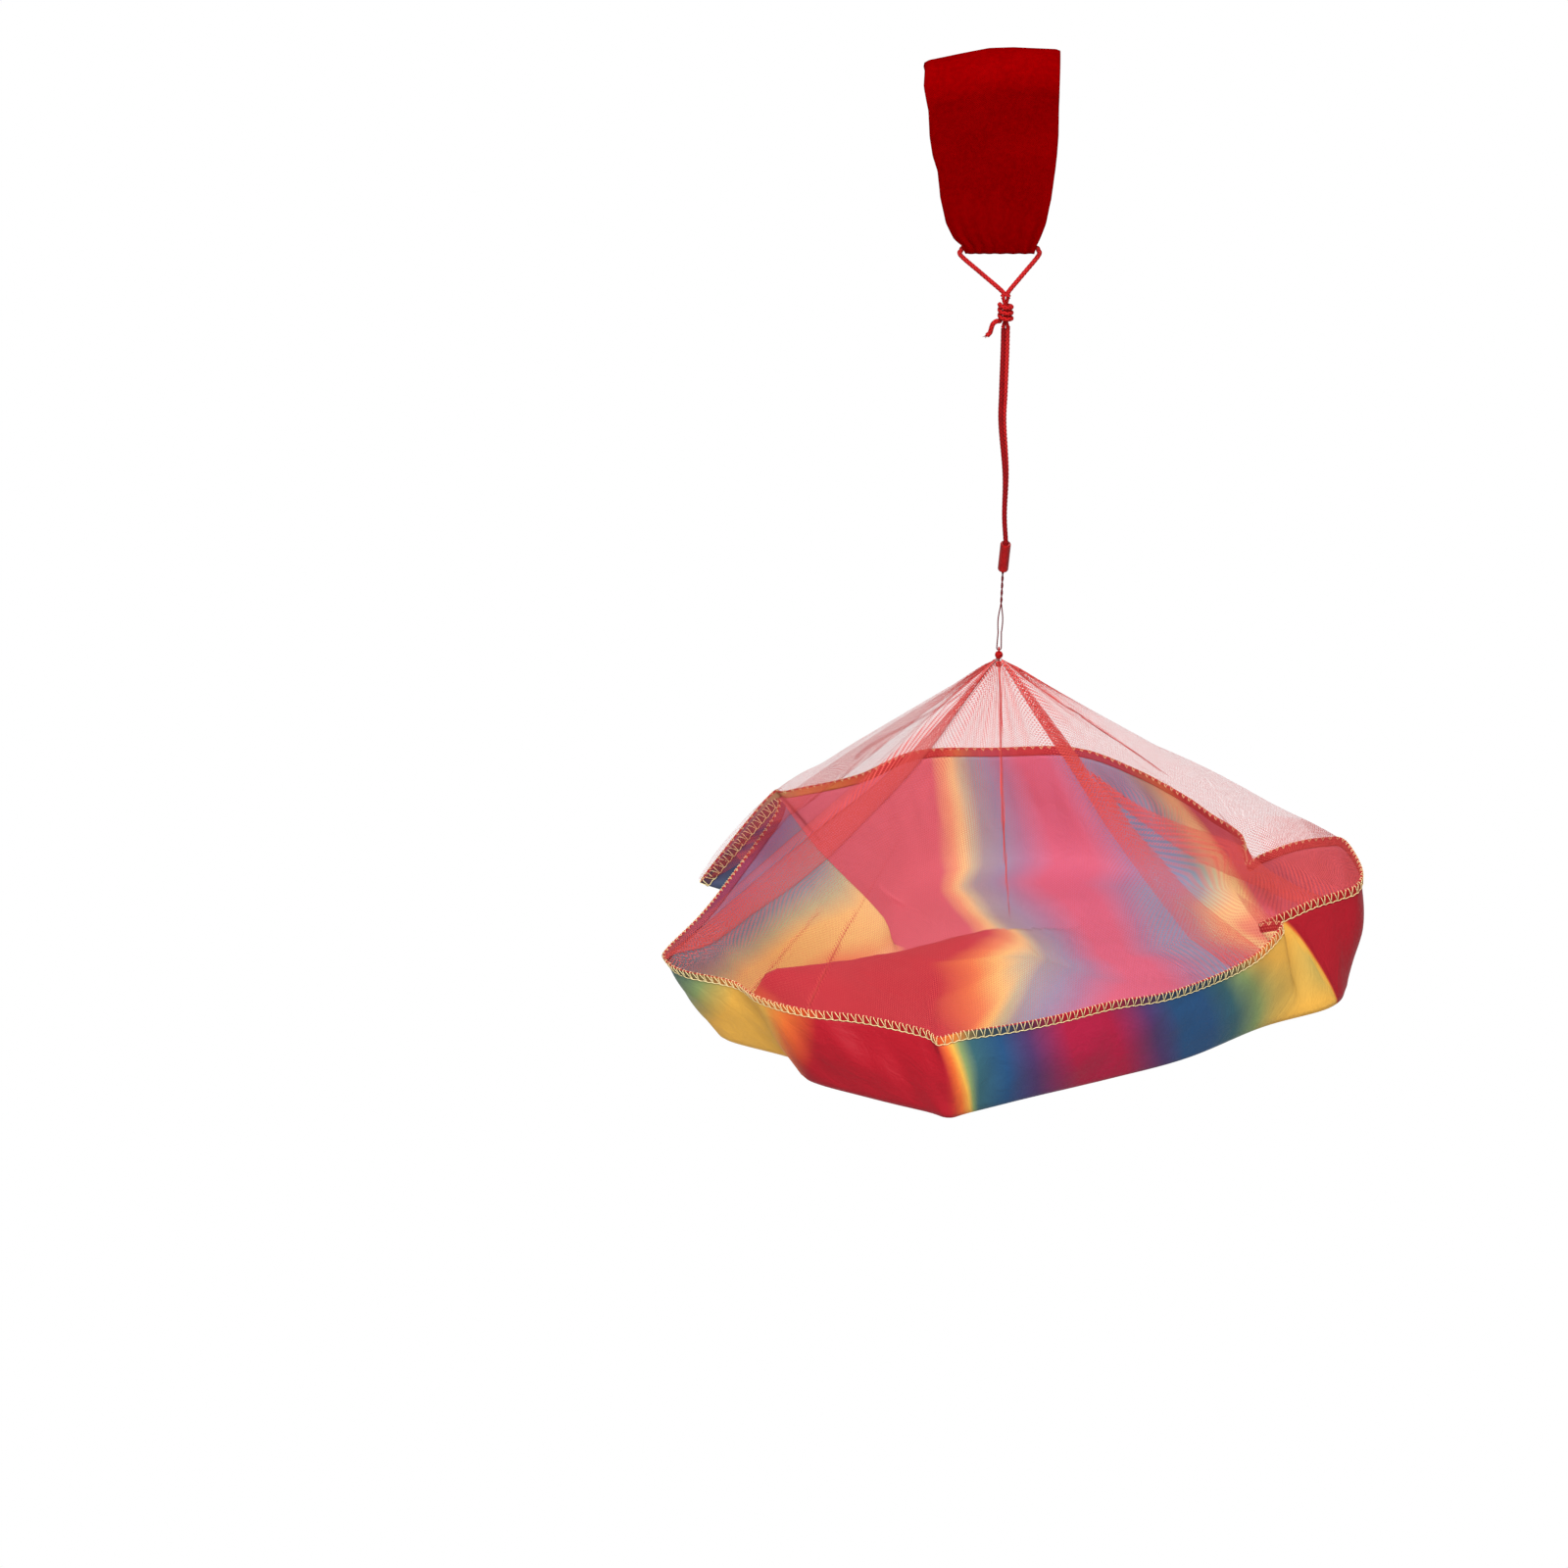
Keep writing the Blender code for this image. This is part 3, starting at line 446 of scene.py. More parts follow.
for k in range(FRAY_HAIRS):
    spin = FRAY_TURN * k
    spread = FRAY_SPREAD * math.sqrt((k + 0.5) / FRAY_HAIRS)
    root = tail[-1] + Vector((math.cos(spin), math.sin(spin), 0)) * spread - fray * 0.2
    length = FRAY_LENGTH + FRAY_LENGTH_CHANGE * math.sin(3.1 * k)
    tip = root + fray.normalized() * length + (root - tail[-1]) * 0.7
    bend = root.lerp(tip, 0.5) + Vector((0, 0, -FRAY_DROOP))
    sweep(bm, [root, bend, tip], lambda turn, run: FRAY_HAIR_RADIUS, 5)
dress(add_piece("knot_turns", bm, knot_red), "lanyard", "cord_knot", "knot_winding")


def drawn_thin(turn, run):
    """Skin of a strand that the knot squeezes most at its middle."""
    pull = math.sin(math.pi * min(1, run / KNOT_HEIGHT)) ** 0.5
    return braid_radius(CORD_DIAMETER, CORE_RELIEF, CORD_PITCH)(turn, run) * (1 - CORE_THINNING * pull)


bm = bmesh.new()
for sign in (-1, 1):
    inner = []
    for k in range(CORE_STEPS + 1):
        share = k / CORE_STEPS
        squeeze = math.sin(math.pi * share) ** 0.5
        half = STRAND_SPACING / 2 * (1 - squeeze) + KNOT_CORE_DIAMETER * CORE_SIDE_SHARE * squeeze
        turn = math.pi * share
        x = KNOT_SIDE + sign * half * math.cos(turn)
        inner.append(Vector((x, sign * half * math.sin(turn), KNOT_TOP_Z - KNOT_HEIGHT * share)))
    sweep(bm, inner, drawn_thin, 20)
dress(add_piece("knot_inner_strands", bm, knot_red), "lanyard", "cord_knot", "knot_core")


# The crimp sleeve: a short oval tube of red plastic, moulded in one piece and squeezed onto the
# cord above and the string below. It keeps its shape from the solid model.
sleeve_red, tree, shader = new_finish("sleeve_red", 0.4, 0.15)
spot = add_node(tree, "TexCoord").outputs["Object"]
cloud = noise_map(tree, spot, 420.0, 4.0)
scratch_spot = add_node(tree, "Mapping", {"Vector": spot, "Scale": (900.0, 900.0, 90.0)}).outputs[0]
scratch = noise_map(tree, scratch_spot, 1.0, 5.0)
tone = blend_colour(tree, remap(tree, cloud, 0.35, 0.7), from_screen(144, 9, 10), from_screen(120, 5, 8))
tree.links.new(tone, shader.inputs["Base Color"])
tree.links.new(remap(tree, scratch, 0.4, 0.7, 0.3, 0.5), shader.inputs["Roughness"])
add_bump(tree, shader, calculate(tree, "ADD", cloud, scratch), 0.00006)
sleeve = bpy.data.objects["crimp_sleeve"]
sleeve.data.materials.clear()
sleeve.data.materials.append(sleeve_red)


# The thin string: one dark red two-ply thread, tied in the foot of the sleeve, twisted with
# itself on the way down and left open as a slender loop that runs through the eye of the apex knot.
STRING_DIAMETER = 0.0006
STRING_PAIR_SPACING = 0.00062
STRING_DROP = 0.043
STRING_END_KNOT = 0.002
STRING_TWISTED_SHARE = 0.47
STRING_TWIST_TURNS = 2.5
STRING_LOOP_OPENING = 0.0022
LOOP_CORNER_SHARES = [(0.86, 0.36), (0.5, 0.0)]
STRING_SWELL = 1.1
STRING_LAY = 0.0011
THREAD_LAY = 0.0012
STRING_STEP = 0.00012
STRING_SIDES = 12
EYE_Z = STRING_TOP_Z - STRING_DROP


def make_thread_finish(name, roughness, hollow_shade_colour, colour, relief):
    finish, tree, shader = new_finish(name, roughness, 0.15)
    made = use_group(tree, yarn, {"Turns per metre": 900.0, "Plaits": 1.0, "Fuzz": 0.3})
    # Painted shade: the hollows between the plies take the darker colour.
    tree.links.new(blend_colour(tree, made["Shade"], hollow_shade_colour, colour), shader.inputs["Base Color"])
    add_bump(tree, shader, made["Height"], relief)
    return finish


# The first colour is painted shade for the hollows between the plies.
string_colours = (from_screen(64, 6, 12), from_screen(112, 16, 26))
string_red = make_thread_finish("string_red", 0.55, *string_colours, 0.00005)


def two_ply(diameter, lay):
    """Thread of two plies: the outline is two round plies that wind round each other."""

    def radius_at(turn, run):
        return diameter / 2 * (0.8 + 0.2 * abs(math.cos(2 * math.pi * (turn + run / lay / 2))))

    return radius_at


def string_side(sign):
    """One side of the string: twisted round the other, then out and down to the eye."""
    top = sleeve_point(0)
    bottom = Vector((0, 0, EYE_Z))
    first = (STRING_END_KNOT / 2 + SEAT_GAP) / STRING_DROP
    steps = 60
    points = []
    for k in range(steps + 1):
        share = first + (STRING_TWISTED_SHARE - first) * k / steps
        turn = 2 * math.pi * STRING_TWIST_TURNS * (k / steps - 1)
        step = Vector((math.cos(turn), math.sin(turn), 0)) * STRING_PAIR_SPACING / 2
        points.append(top.lerp(bottom, share) + sign * step)
    loop_steps = 24
    narrow = STRING_LOOP_OPENING * 0.8
    last = 1 - STRING_LOOP_OPENING / 2 / STRING_DROP
    for k in range(1, loop_steps + 1):
        part = k / loop_steps
        share = STRING_TWISTED_SHARE + (last - STRING_TWISTED_SHARE) * part
        bulge = math.sin(math.pi * min(1, 1.6 * part)) * (narrow - STRING_PAIR_SPACING) / 2
        half = STRING_PAIR_SPACING / 2 + (STRING_LOOP_OPENING - STRING_PAIR_SPACING) / 2 * part
        half += max(0, bulge)
        points.append(top.lerp(bottom, share) + Vector((sign * half, 0, 0)))
    return points


half_loop = STRING_LOOP_OPENING / 2
loop_corner = [Vector((half_loop * x, 0, EYE_Z + half_loop * z)) for x, z in LOOP_CORNER_SHARES]
string_route = string_side(-1) + [Vector((-place.x, 0, place.z)) for place in loop_corner]
string_route += [Vector((0, 0, EYE_Z))] + loop_corner[::-1] + string_side(1)[::-1]
string_line = smooth_route(string_route, STRING_STEP)
string_skin = two_ply(STRING_DIAMETER * STRING_SWELL, STRING_LAY)
string_ties = ("string", "thin_string", "string_loop")
make_cord("twisted_string", string_line, STRING_DIAMETER, string_skin, STRING_SIDES, string_red, *string_ties)


def thread_ball(name, centre, diameter, thread, winds, finish, body, slot_name, node):
    """A knot pulled tight: thread wound over a ball, each turn at another tilt."""
    bm = bmesh.new()
    bmesh.ops.create_icosphere(bm, subdivisions=3, radius=diameter / 2 - thread * 0.7)
    bmesh.ops.translate(bm, verts=bm.verts, vec=centre)
    bm.loops.layers.uv.new("UVMap")
    line = []
    wind_steps = 36
    steps = wind_steps * winds
    for k in range(steps + 1):
        turn = 2 * math.pi * k / wind_steps
        tilt = math.pi * k / steps
        flat = Vector((math.cos(turn), math.sin(turn), 0.25 * math.sin(2 * turn + tilt)))
        y = flat.y * math.cos(tilt) - flat.z * math.sin(tilt)
        z = flat.y * math.sin(tilt) + flat.z * math.cos(tilt)
        line.append(centre + Vector((flat.x, y, z)).normalized() * (diameter / 2 - thread / 2))
    sweep(bm, line, two_ply(thread, THREAD_LAY), 8)
    dress(add_piece(name, bm, finish), body, slot_name, node)


tie_facts = (STRING_END_KNOT, 0.0005, 9, string_red, "string", "thin_string", "string_end_knot")
thread_ball("string_tie", sleeve_point(0), *tie_facts)


# The apex knot: the string's eye and a tight ball of thread above the net, a short stem through
# its middle and a second knot below, which keeps the net from slipping off.
APEX_KNOT_DIAMETER = 0.004
EYE_WIRE = 0.0009
EYE_SINK = 0.0003
EYE_STEPS = 48
STEM_STEPS = 12
NET_CLOTH = 0.0004
STOP_KNOT_DIAMETER = 0.0034
STEM_DIAMETER = 0.001
eye_radius = STRING_DIAMETER / 2 + SEAT_GAP + EYE_WIRE / 2
APEX_KNOT_Z = EYE_Z - eye_radius - APEX_KNOT_DIAMETER / 2 + EYE_SINK
NECK_Z = APEX_KNOT_Z - APEX_KNOT_DIAMETER / 2 - SEAT_GAP - NET_CLOTH / 2
STEM_FOOT_Z = NECK_Z - NET_CLOTH / 2 - SEAT_GAP

apex_facts = (APEX_KNOT_DIAMETER, 0.0007, 11, knot_red, "apex", "cord_knot", "apex_knot")
thread_ball("apex_tie", Vector((0, 0, APEX_KNOT_Z)), *apex_facts)
bm = bmesh.new()
eye_line = []
for k in range(EYE_STEPS):
    turn = 2 * math.pi * k / EYE_STEPS
    eye_line.append(Vector((0, eye_radius * math.cos(turn), EYE_Z + eye_radius * math.sin(turn))))
sweep(bm, eye_line, two_ply(EYE_WIRE, THREAD_LAY), 10, closed=True)
stem_heights = [APEX_KNOT_Z - k * (APEX_KNOT_Z - STEM_FOOT_Z) / STEM_STEPS for k in range(STEM_STEPS + 1)]
stem_line = [Vector((0, 0, height)) for height in stem_heights]
sweep(bm, stem_line, two_ply(STEM_DIAMETER, THREAD_LAY), 10)
dress(add_piece("apex_eye", bm, knot_red), "apex", "cord_knot")
stop_centre = Vector((0, 0, STEM_FOOT_Z - SEAT_GAP - STOP_KNOT_DIAMETER / 2))
stop_facts = (STOP_KNOT_DIAMETER, 0.0006, 9, knot_red, "apex", "cord_knot", "stop_knot")
thread_ball("stop_tie", stop_centre, *stop_facts)


# The wrist band: a strip of dark red brushed cloth, folded into a ring and sewn flat at its foot,
# where the casing gathers it round the cord.
BAND_WIDTH = 0.066
BAND_EDGE_SHARES = [
    (0.00, -0.535, 0.440),
    (0.13, -0.560, 0.438),
    (0.24, -0.530, 0.432),
    (0.38, -0.520, 0.430),
    (0.48, -0.498, 0.420),
    (0.56, -0.462, 0.408),
    (0.71, -0.440, 0.380),
    (0.84, -0.395, 0.340),
    (0.92, -0.335, 0.295),
    (0.955, -0.280, 0.272),
    (1.00, -0.256, 0.256),
]
BAND_TOP_DROP_SHARES = [
    (0.0, 0.074), (0.03, 0.062), (0.25, 0.032), (0.47, 0.004), (0.65, 0.0), (0.97, 0.010), (1.0, 0.018)
]
BAND_STATIONS = 72
BAND_TOP_STEPS = 40
BAND_FOOT_STEPS = 16
BAND_SIDE_STEPS = 60
BAND_GATHERS = 7
GATHER_DEPTH = 0.0006
BAND_WAVE = 0.0016
BAND_MAP_MM = 300.0


def make_weave_group():
    """Crossing threads of a woven cloth, from a position in millimetres."""
    inputs = [("Vector", "Vector", None), ("Thread", "Float", 0.4)]
    group, given, out = new_group("weave", inputs, [("Height", "Float"), ("Fleck", "Float")])
    parts = split_axes(group, given["Vector"])
    waves = []
    for axis in (0, 1):
        phase = calculate(group, "DIVIDE", parts[axis], given["Thread"])
        waves.append(calculate(group, "SINE", calculate(group, "MULTIPLY", phase, math.pi)))
    crossed = calculate(group, "MULTIPLY", *waves)
    group.links.new(crossed, out["Height"])
    group.links.new(noise_map(group, given["Vector"], 1.7, 4.0), out["Fleck"])
    return group


weave = make_weave_group()
band_red, tree, shader = new_finish("band_red", 0.92, 0.0, 0.12)
shader.inputs["Sheen Roughness"].default_value = 0.5
shader.inputs["Sheen Tint"].default_value = from_screen(170, 0, 0)
millimetres = scaled(tree, uv_spot(tree), (BAND_MAP_MM, BAND_MAP_MM, 1.0))
made = use_group(tree, weave, {"Vector": millimetres, "Thread": 0.55})
nap = noise_map(tree, millimetres, 0.35, 6.0, Roughness=0.65)
patch = noise_map(tree, millimetres, 0.06, 3.0)
tone = blend_colour(tree, remap(tree, nap, 0.35, 0.7), from_screen(108, 0, 1), from_screen(122, 0, 1))
tone = blend_colour(tree, remap(tree, patch, 0.4, 0.7, 0.0, 0.25), tone, from_screen(134, 2, 3))
tree.links.new(tone, shader.inputs["Base Color"])
height = calculate(tree, "MULTIPLY_ADD", made["Height"], 0.35, nap)
add_bump(tree, shader, height, 0.00025)


def band_arc(centre, radius, first, swept, steps):
    found = [first + swept * k / steps for k in range(steps + 1)]
    return [centre + radius * Vector((0, math.cos(turn), math.sin(turn))) for turn in found]


def band_loop(station):
    """Closed line of the band in Y and Z at one station across it."""
    top = Vector((0, 0, -BAND_HEIGHT * table_value(BAND_TOP_DROP_SHARES, station)))
    foot = Vector((0, 0, CASING_Z))
    lean = math.asin((BAND_TOP_RADIUS - BAND_FOOT_RADIUS) / (top.z - foot.z))
    line = band_arc(top, BAND_TOP_RADIUS, -lean, math.pi + 2 * lean, BAND_TOP_STEPS)
    arc = band_arc(foot, BAND_FOOT_RADIUS, math.pi + lean, math.pi - 2 * lean, BAND_FOOT_STEPS)
    parts = [k / BAND_SIDE_STEPS for k in range(1, BAND_SIDE_STEPS)]
    down = [line[-1].lerp(arc[0], part) for part in parts]
    up = [arc[-1].lerp(line[0], part) for part in parts]
    return line + down + arc + up


def grid_sheet(name, rows, spot_at, finishes, thickness):
    """Cloth through closed rows of points. spot_at gives each one's place on the flat cloth, 0 to 1."""
    bm = bmesh.new()
    uv = bm.loops.layers.uv.new("UVMap")
    made = [[bm.verts.new(point) for point in row] for row in rows]
    for i in range(len(rows) - 1):
        for k in range(len(rows[i])):
            n = (k + 1) % len(rows[i])
            corners = ((i, k), (i, n), (i + 1, n), (i + 1, k))
            face = bm.faces.new([made[a][b] for a, b in corners])
            for loop, (a, b) in zip(face.loops, corners):
                loop[uv].uv = spot_at(a, b, n == 0 and b == 0)
    piece = add_piece(name, bm, *finishes)
    if thickness:
        wall = piece.modifiers.new("cloth", "SOLIDIFY")
        wall.thickness = thickness
        wall.offset = 0
        wall.material_offset = len(finishes) - 1
        wall.use_quality_normals = True
    return piece


band_top = BAND_TOP_RADIUS
band_reach = band_top - (CASING_Z - BAND_FOOT_RADIUS)
band_rows = []
for i in range(BAND_STATIONS + 1):
    share = i / BAND_STATIONS
    loop = band_loop(share)
    row = []
    for k, point in enumerate(loop):
        down_share = (band_top - point.z) / band_reach
        left = BAND_WIDTH * table_value(BAND_EDGE_SHARES, down_share, 1)
        right = BAND_WIDTH * table_value(BAND_EDGE_SHARES, down_share, 2)
        x = left + (right - left) * share
        gather = smooth_share((down_share - 0.6) / 0.35)
        phase = share * BAND_GATHERS + 0.3 * math.sin(5 * share)
        fold = math.sin(2 * math.pi * phase) * GATHER_DEPTH * gather
        soft = noise.noise(Vector((x * 38, point.y * 30, point.z * 26))) * BAND_WAVE
        soft *= smooth_share((1 - down_share) / 0.12) if point.y else 1
        inward = -1 if point.y > 0 else 1
        y = point.y + (fold + soft) * inward * (0.35 + 0.65 * min(1, abs(point.y) / 0.004))
        row.append(Vector((x, y, point.z + 0.35 * soft)))
    band_rows.append(row)
band_count = len(band_rows[0])


def band_spot(station, k, wraps):
    """Place on the flat band, 66 mm across by 225 mm round, in a map of BAND_MAP_MM to a unit."""
    return (0.1 + 0.22 * station / BAND_STATIONS, 0.05 + 0.75 * (1 if wraps else k / band_count))


band = grid_sheet("band_cloth", band_rows, band_spot, [band_red], BAND_CLOTH)
dress(band, "band", "band_cloth", "wrist_band")


# The rim of the canopy and the crease below it, as the cloth fell: turn of the flat disc, then
# X and Y in shares of the reach and Z of the rim's height. Net, seam and satin share these lines.
CANOPY_DROP = 0.178
CANOPY_REACH = 0.170
RIM_HEIGHT = 0.060
FLOOR_Z = NECK_Z - CANOPY_DROP
DISC_RADIUS = 0.21
UV_REACH = 0.47
UV_TO_MM = DISC_RADIUS * 1000 / UV_REACH
RIM_SHARES = [
    (0.586, -0.963, -0.240, 0.600),
    (0.596, -0.912, -0.322, 0.600),
    (0.625, -0.768, -0.415, 0.623),
    (0.640, -0.698, -0.510, 0.608),
    (0.667, -0.568, -0.624, 0.640),
    (0.692, -0.392, -0.692, 0.663),
    (0.717, -0.220, -0.796, 0.680),
    (0.724, -0.178, -0.845, 0.672),
    (0.733, -0.105, -0.819, 0.688),
    (0.753, 0.040, -0.780, 0.703),
    (0.772, 0.184, -0.716, 0.712),
    (0.793, 0.328, -0.634, 0.720),
    (0.814, 0.472, -0.565, 0.703),
    (0.832, 0.585, -0.472, 0.697),
    (0.850, 0.686, -0.364, 0.697),
    (0.864, 0.760, -0.290, 0.760),
    (0.878, 0.816, -0.187, 0.848),
    (0.889, 0.751, -0.155, 0.800),
    (0.900, 0.830, -0.118, 0.863),
    (0.913, 0.904, -0.065, 0.897),
    (0.925, 0.974, -0.016, 0.903),
    (0.936, 1.034, 0.027, 0.920),
    (0.949, 1.048, 0.113, 0.960),
    (0.974, 1.002, 0.285, 0.992),
    (0.983, 0.946, 0.322, 0.968),
    (0.999, 0.858, 0.376, 0.857),
    (1.017, 0.759, 0.432, 0.672),
    (1.028, 0.723, 0.477, 0.543),
    (1.036, 0.709, 0.500, 0.657),
    (1.044, 0.700, 0.534, 0.743),
    (1.069, 0.615, 0.622, 0.808),
    (1.094, 0.542, 0.709, 0.857),
    (1.131, 0.398, 0.833, 0.943),
    (1.169, 0.226, 0.904, 1.040),
    (1.222, -0.006, 0.922, 1.017),
    (1.272, -0.234, 0.902, 1.017),
    (1.314, -0.409, 0.791, 0.937),
    (1.361, -0.610, 0.666, 0.955),
    (1.374, -0.665, 0.665, 0.905),
    (1.416, -0.835, 0.465, 0.510),
    (1.425, -0.842, 0.395, 0.535),
    (1.457, -0.658, 0.612, 0.915),
    (1.466, -0.645, 0.550, 0.890),
    (1.503, -0.754, 0.291, 0.737),
    (1.542, -0.856, 0.034, 0.657),
    (1.575, -0.954, -0.169, 0.608),
]
CREASE_SHARES = [
    (0.589, -0.788, -0.347),
    (0.628, -0.573, -0.497),
    (0.642, -0.551, -0.627),
    (0.675, -0.364, -0.757),
    (0.705, -0.205, -0.850),
    (0.716, -0.147, -0.890),
    (0.727, -0.085, -0.852),
    (0.764, 0.110, -0.734),
    (0.794, 0.328, -0.610),
    (0.831, 0.542, -0.472),
    (0.867, 0.760, -0.257),
    (0.897, 0.960, -0.119),
    (0.931, 1.005, 0.028),
    (0.972, 0.977, 0.226),
    (1.014, 0.850, 0.420),
    (1.056, 0.750, 0.565),
    (1.111, 0.596, 0.706),
    (1.167, 0.370, 0.819),
    (1.222, 0.088, 0.875),
    (1.278, -0.138, 0.819),
    (1.333, -0.280, 0.664),
    (1.417, -0.314, 0.395),
    (1.458, -0.302, 0.277),
    (1.500, -0.435, 0.127),
    (1.542, -0.632, -0.099),
    (1.569, -0.731, -0.254),
]
RIM_STEPS_PER_TURN = 84
FINER = 6
SLOPE_SPREAD = 3

rim_turns = [row[0] for row in RIM_SHARES] + [RIM_SHARES[0][0] + 1]
stretches = [b - a for a, b in zip(rim_turns, rim_turns[1:])]
rim_counts = [max(1, round(stretch * RIM_STEPS_PER_TURN)) for stretch in stretches]
while sum(rim_counts) % 4:
    widest = max(range(len(rim_counts)), key=lambda i: stretches[i] / rim_counts[i])
    rim_counts[widest] += 1
rim_corners = [
    Vector((x * CANOPY_REACH, y * CANOPY_REACH, FLOOR_Z + z * RIM_HEIGHT)) for _, x, y, z in RIM_SHARES
]
crease_turns = [row[0] for row in CREASE_SHARES]
crease_corners = [Vector((x * CANOPY_REACH, y * CANOPY_REACH, FLOOR_Z)) for _, x, y in CREASE_SHARES]
rim = []
turns = []
for i, rim_count in enumerate(rim_counts):
    near = [rim_corners[(i + k) % len(rim_corners)] for k in (-1, 0, 1, 2)]
    for k in range(rim_count * FINER):
        part = k / (rim_count * FINER)
        rim.append(spline_point(*near, part))
        turns.append(rim_turns[i] + stretches[i] * part)
crease = []
for turn in turns:
    if turn < crease_turns[0]:
        turn += 1
    i = max(k for k, known in enumerate(crease_turns) if known <= turn)
    following = crease_turns[i + 1] if i + 1 < len(crease_turns) else crease_turns[0] + 1
    near = [crease_corners[(i + k) % len(crease_corners)] for k in (-1, 0, 1, 2)]
    crease.append(spline_point(*near, (turn - crease_turns[i]) / (following - crease_turns[i])))
columns = len(rim)


def evened(values, spread):
    """Each value as the mean of its neighbours round the rim."""
    running = sum((values[k % columns] for k in range(-spread, spread + 1)), values[0] * 0)
    found = []
    for i in range(columns):
        found.append(running / (2 * spread + 1))
        running = running + values[(i + spread + 1) % columns] - values[(i - spread) % columns]
    return found


straight_down = [(foot - top).normalized() for top, foot in zip(rim, crease)]
slopes = [slope.normalized() for slope in evened(straight_down, SLOPE_SPREAD * FINER)]


def below_rim(down):
    """A line round the cloth, so far below its edge."""
    return [top + slope * down for top, slope in zip(rim, slopes)]


def disc_spot(turn, share):
    """Place on the flat disc, as a UV from 0 to 1."""
    angle = 2 * math.pi * turn
    return (0.5 + UV_REACH * share * math.cos(angle), 0.5 + UV_REACH * share * math.sin(angle))


# The satin disc: thin woven polyester, dyed in rainbow stripes that run from front to back. It
# hangs from the seam as a shallow bowl, with a soft fold across its floor. Its reverse is drawn paler:
# partly its own lighter print, partly painted light for light through the thin cloth and its sheen.
SEAM_HEIGHT = 0.0045
HEM_GAP = 0.0005
SATIN_CLOTH = 0.0005
RIDGE_HEIGHT = 0.019
RIDGE_FRONT = 0.042
RIDGE_BACK = 0.009
RIDGE_SHARES = [
    (-0.80, -0.33, 1.7), (-0.53, -0.22, 1.55), (-0.32, -0.02, 1.05), (-0.06, 0.19, 0.85), (0.14, 0.22, 0.0)
]
# How much of the reverse's paleness the floor in front of the fold loses, as painted shade
RIDGE_SHADE = 0.9
FLOOR_RISE = 0.0014
FLOOR_RIPPLE = 0.0022
WALL_WAVE = 0.0026
WALL_BOW = 0.0022
SATIN_BELOW_SEAM = 0.001
# The dyes of the print, as a screen shows them, and the places across the disc in mm where each is fullest
DYES = {
    "crimson": (166, 28, 44),
    "orange": (214, 108, 54),
    "yellow": (222, 172, 80),
    "green": (136, 152, 100),
    "teal": (60, 100, 108),
    "blue": (44, 84, 124),
    "violet": (84, 58, 104),
    "magenta": (168, 32, 68),
}
STRIPES = [
    (-205, "violet"),
    (-168, "teal"),
    (-152, "green"),
    (-136, "yellow"),
    (-112, "yellow"),
    (-92, "orange"),
    (-78, "crimson"),
    (-28, "crimson"),
    (-18, "orange"),
    (-11, "yellow"),
    (-5, "green"),
    (3, "teal"),
    (16, "blue"),
    (27, "violet"),
    (45, "magenta"),
    (65, "magenta"),
    (84, "violet"),
    (98, "blue"),
    (114, "blue"),
    (127, "teal"),
    (137, "green"),
    (147, "yellow"),
    (153, "yellow"),
    (158, "orange"),
    (164, "crimson"),
    (205, "crimson"),
]
STRIPE_SLANT = -0.073


def make_stripes_group():
    """Rainbow stripes across the flat disc, read from its UV map."""
    outputs = [("Color", "Color"), ("Millimetres", "Vector")]
    group, given, out = new_group("stripes", [("Drift", "Float", 3.0)], outputs)
    from_middle = {0: uv_spot(group), 1: (0.5, 0.5, 0.0)}
    centred = add_node(group, "VectorMath", from_middle, operation="SUBTRACT").outputs[0]
    flat = scaled(group, centred, (UV_TO_MM,) * 3)
    parts = split_axes(group, flat)
    wander = calculate(group, "SUBTRACT", noise_map(group, flat, 0.02, 2.0), 0.5)
    slanted = calculate(group, "MULTIPLY_ADD", parts[1], STRIPE_SLANT, parts[0])
    drifted = calculate(group, "MULTIPLY_ADD", wander, given["Drift"], slanted)
    low, high = STRIPES[0][0], STRIPES[-1][0]
    span = {"Value": drifted, "From Min": low, "From Max": high}
    ramp = add_node(group, "ValToRGB", {"Fac": add_node(group, "MapRange", span).outputs["Result"]})
    stops = ramp.color_ramp.elements
    for index, (at, dye) in enumerate(STRIPES):
        place = (at - low) / (high - low)
        if index == 0:
            stop = stops[0]
        elif index == len(STRIPES) - 1:
            stop = stops[-1]
        else:
            stop = stops.new(place)
        stop.position = place
        stop.color = from_screen(*DYES[dye])
    group.links.new(ramp.outputs["Color"], out["Color"])
    group.links.new(flat, out["Millimetres"])
    return group


stripes = make_stripes_group()


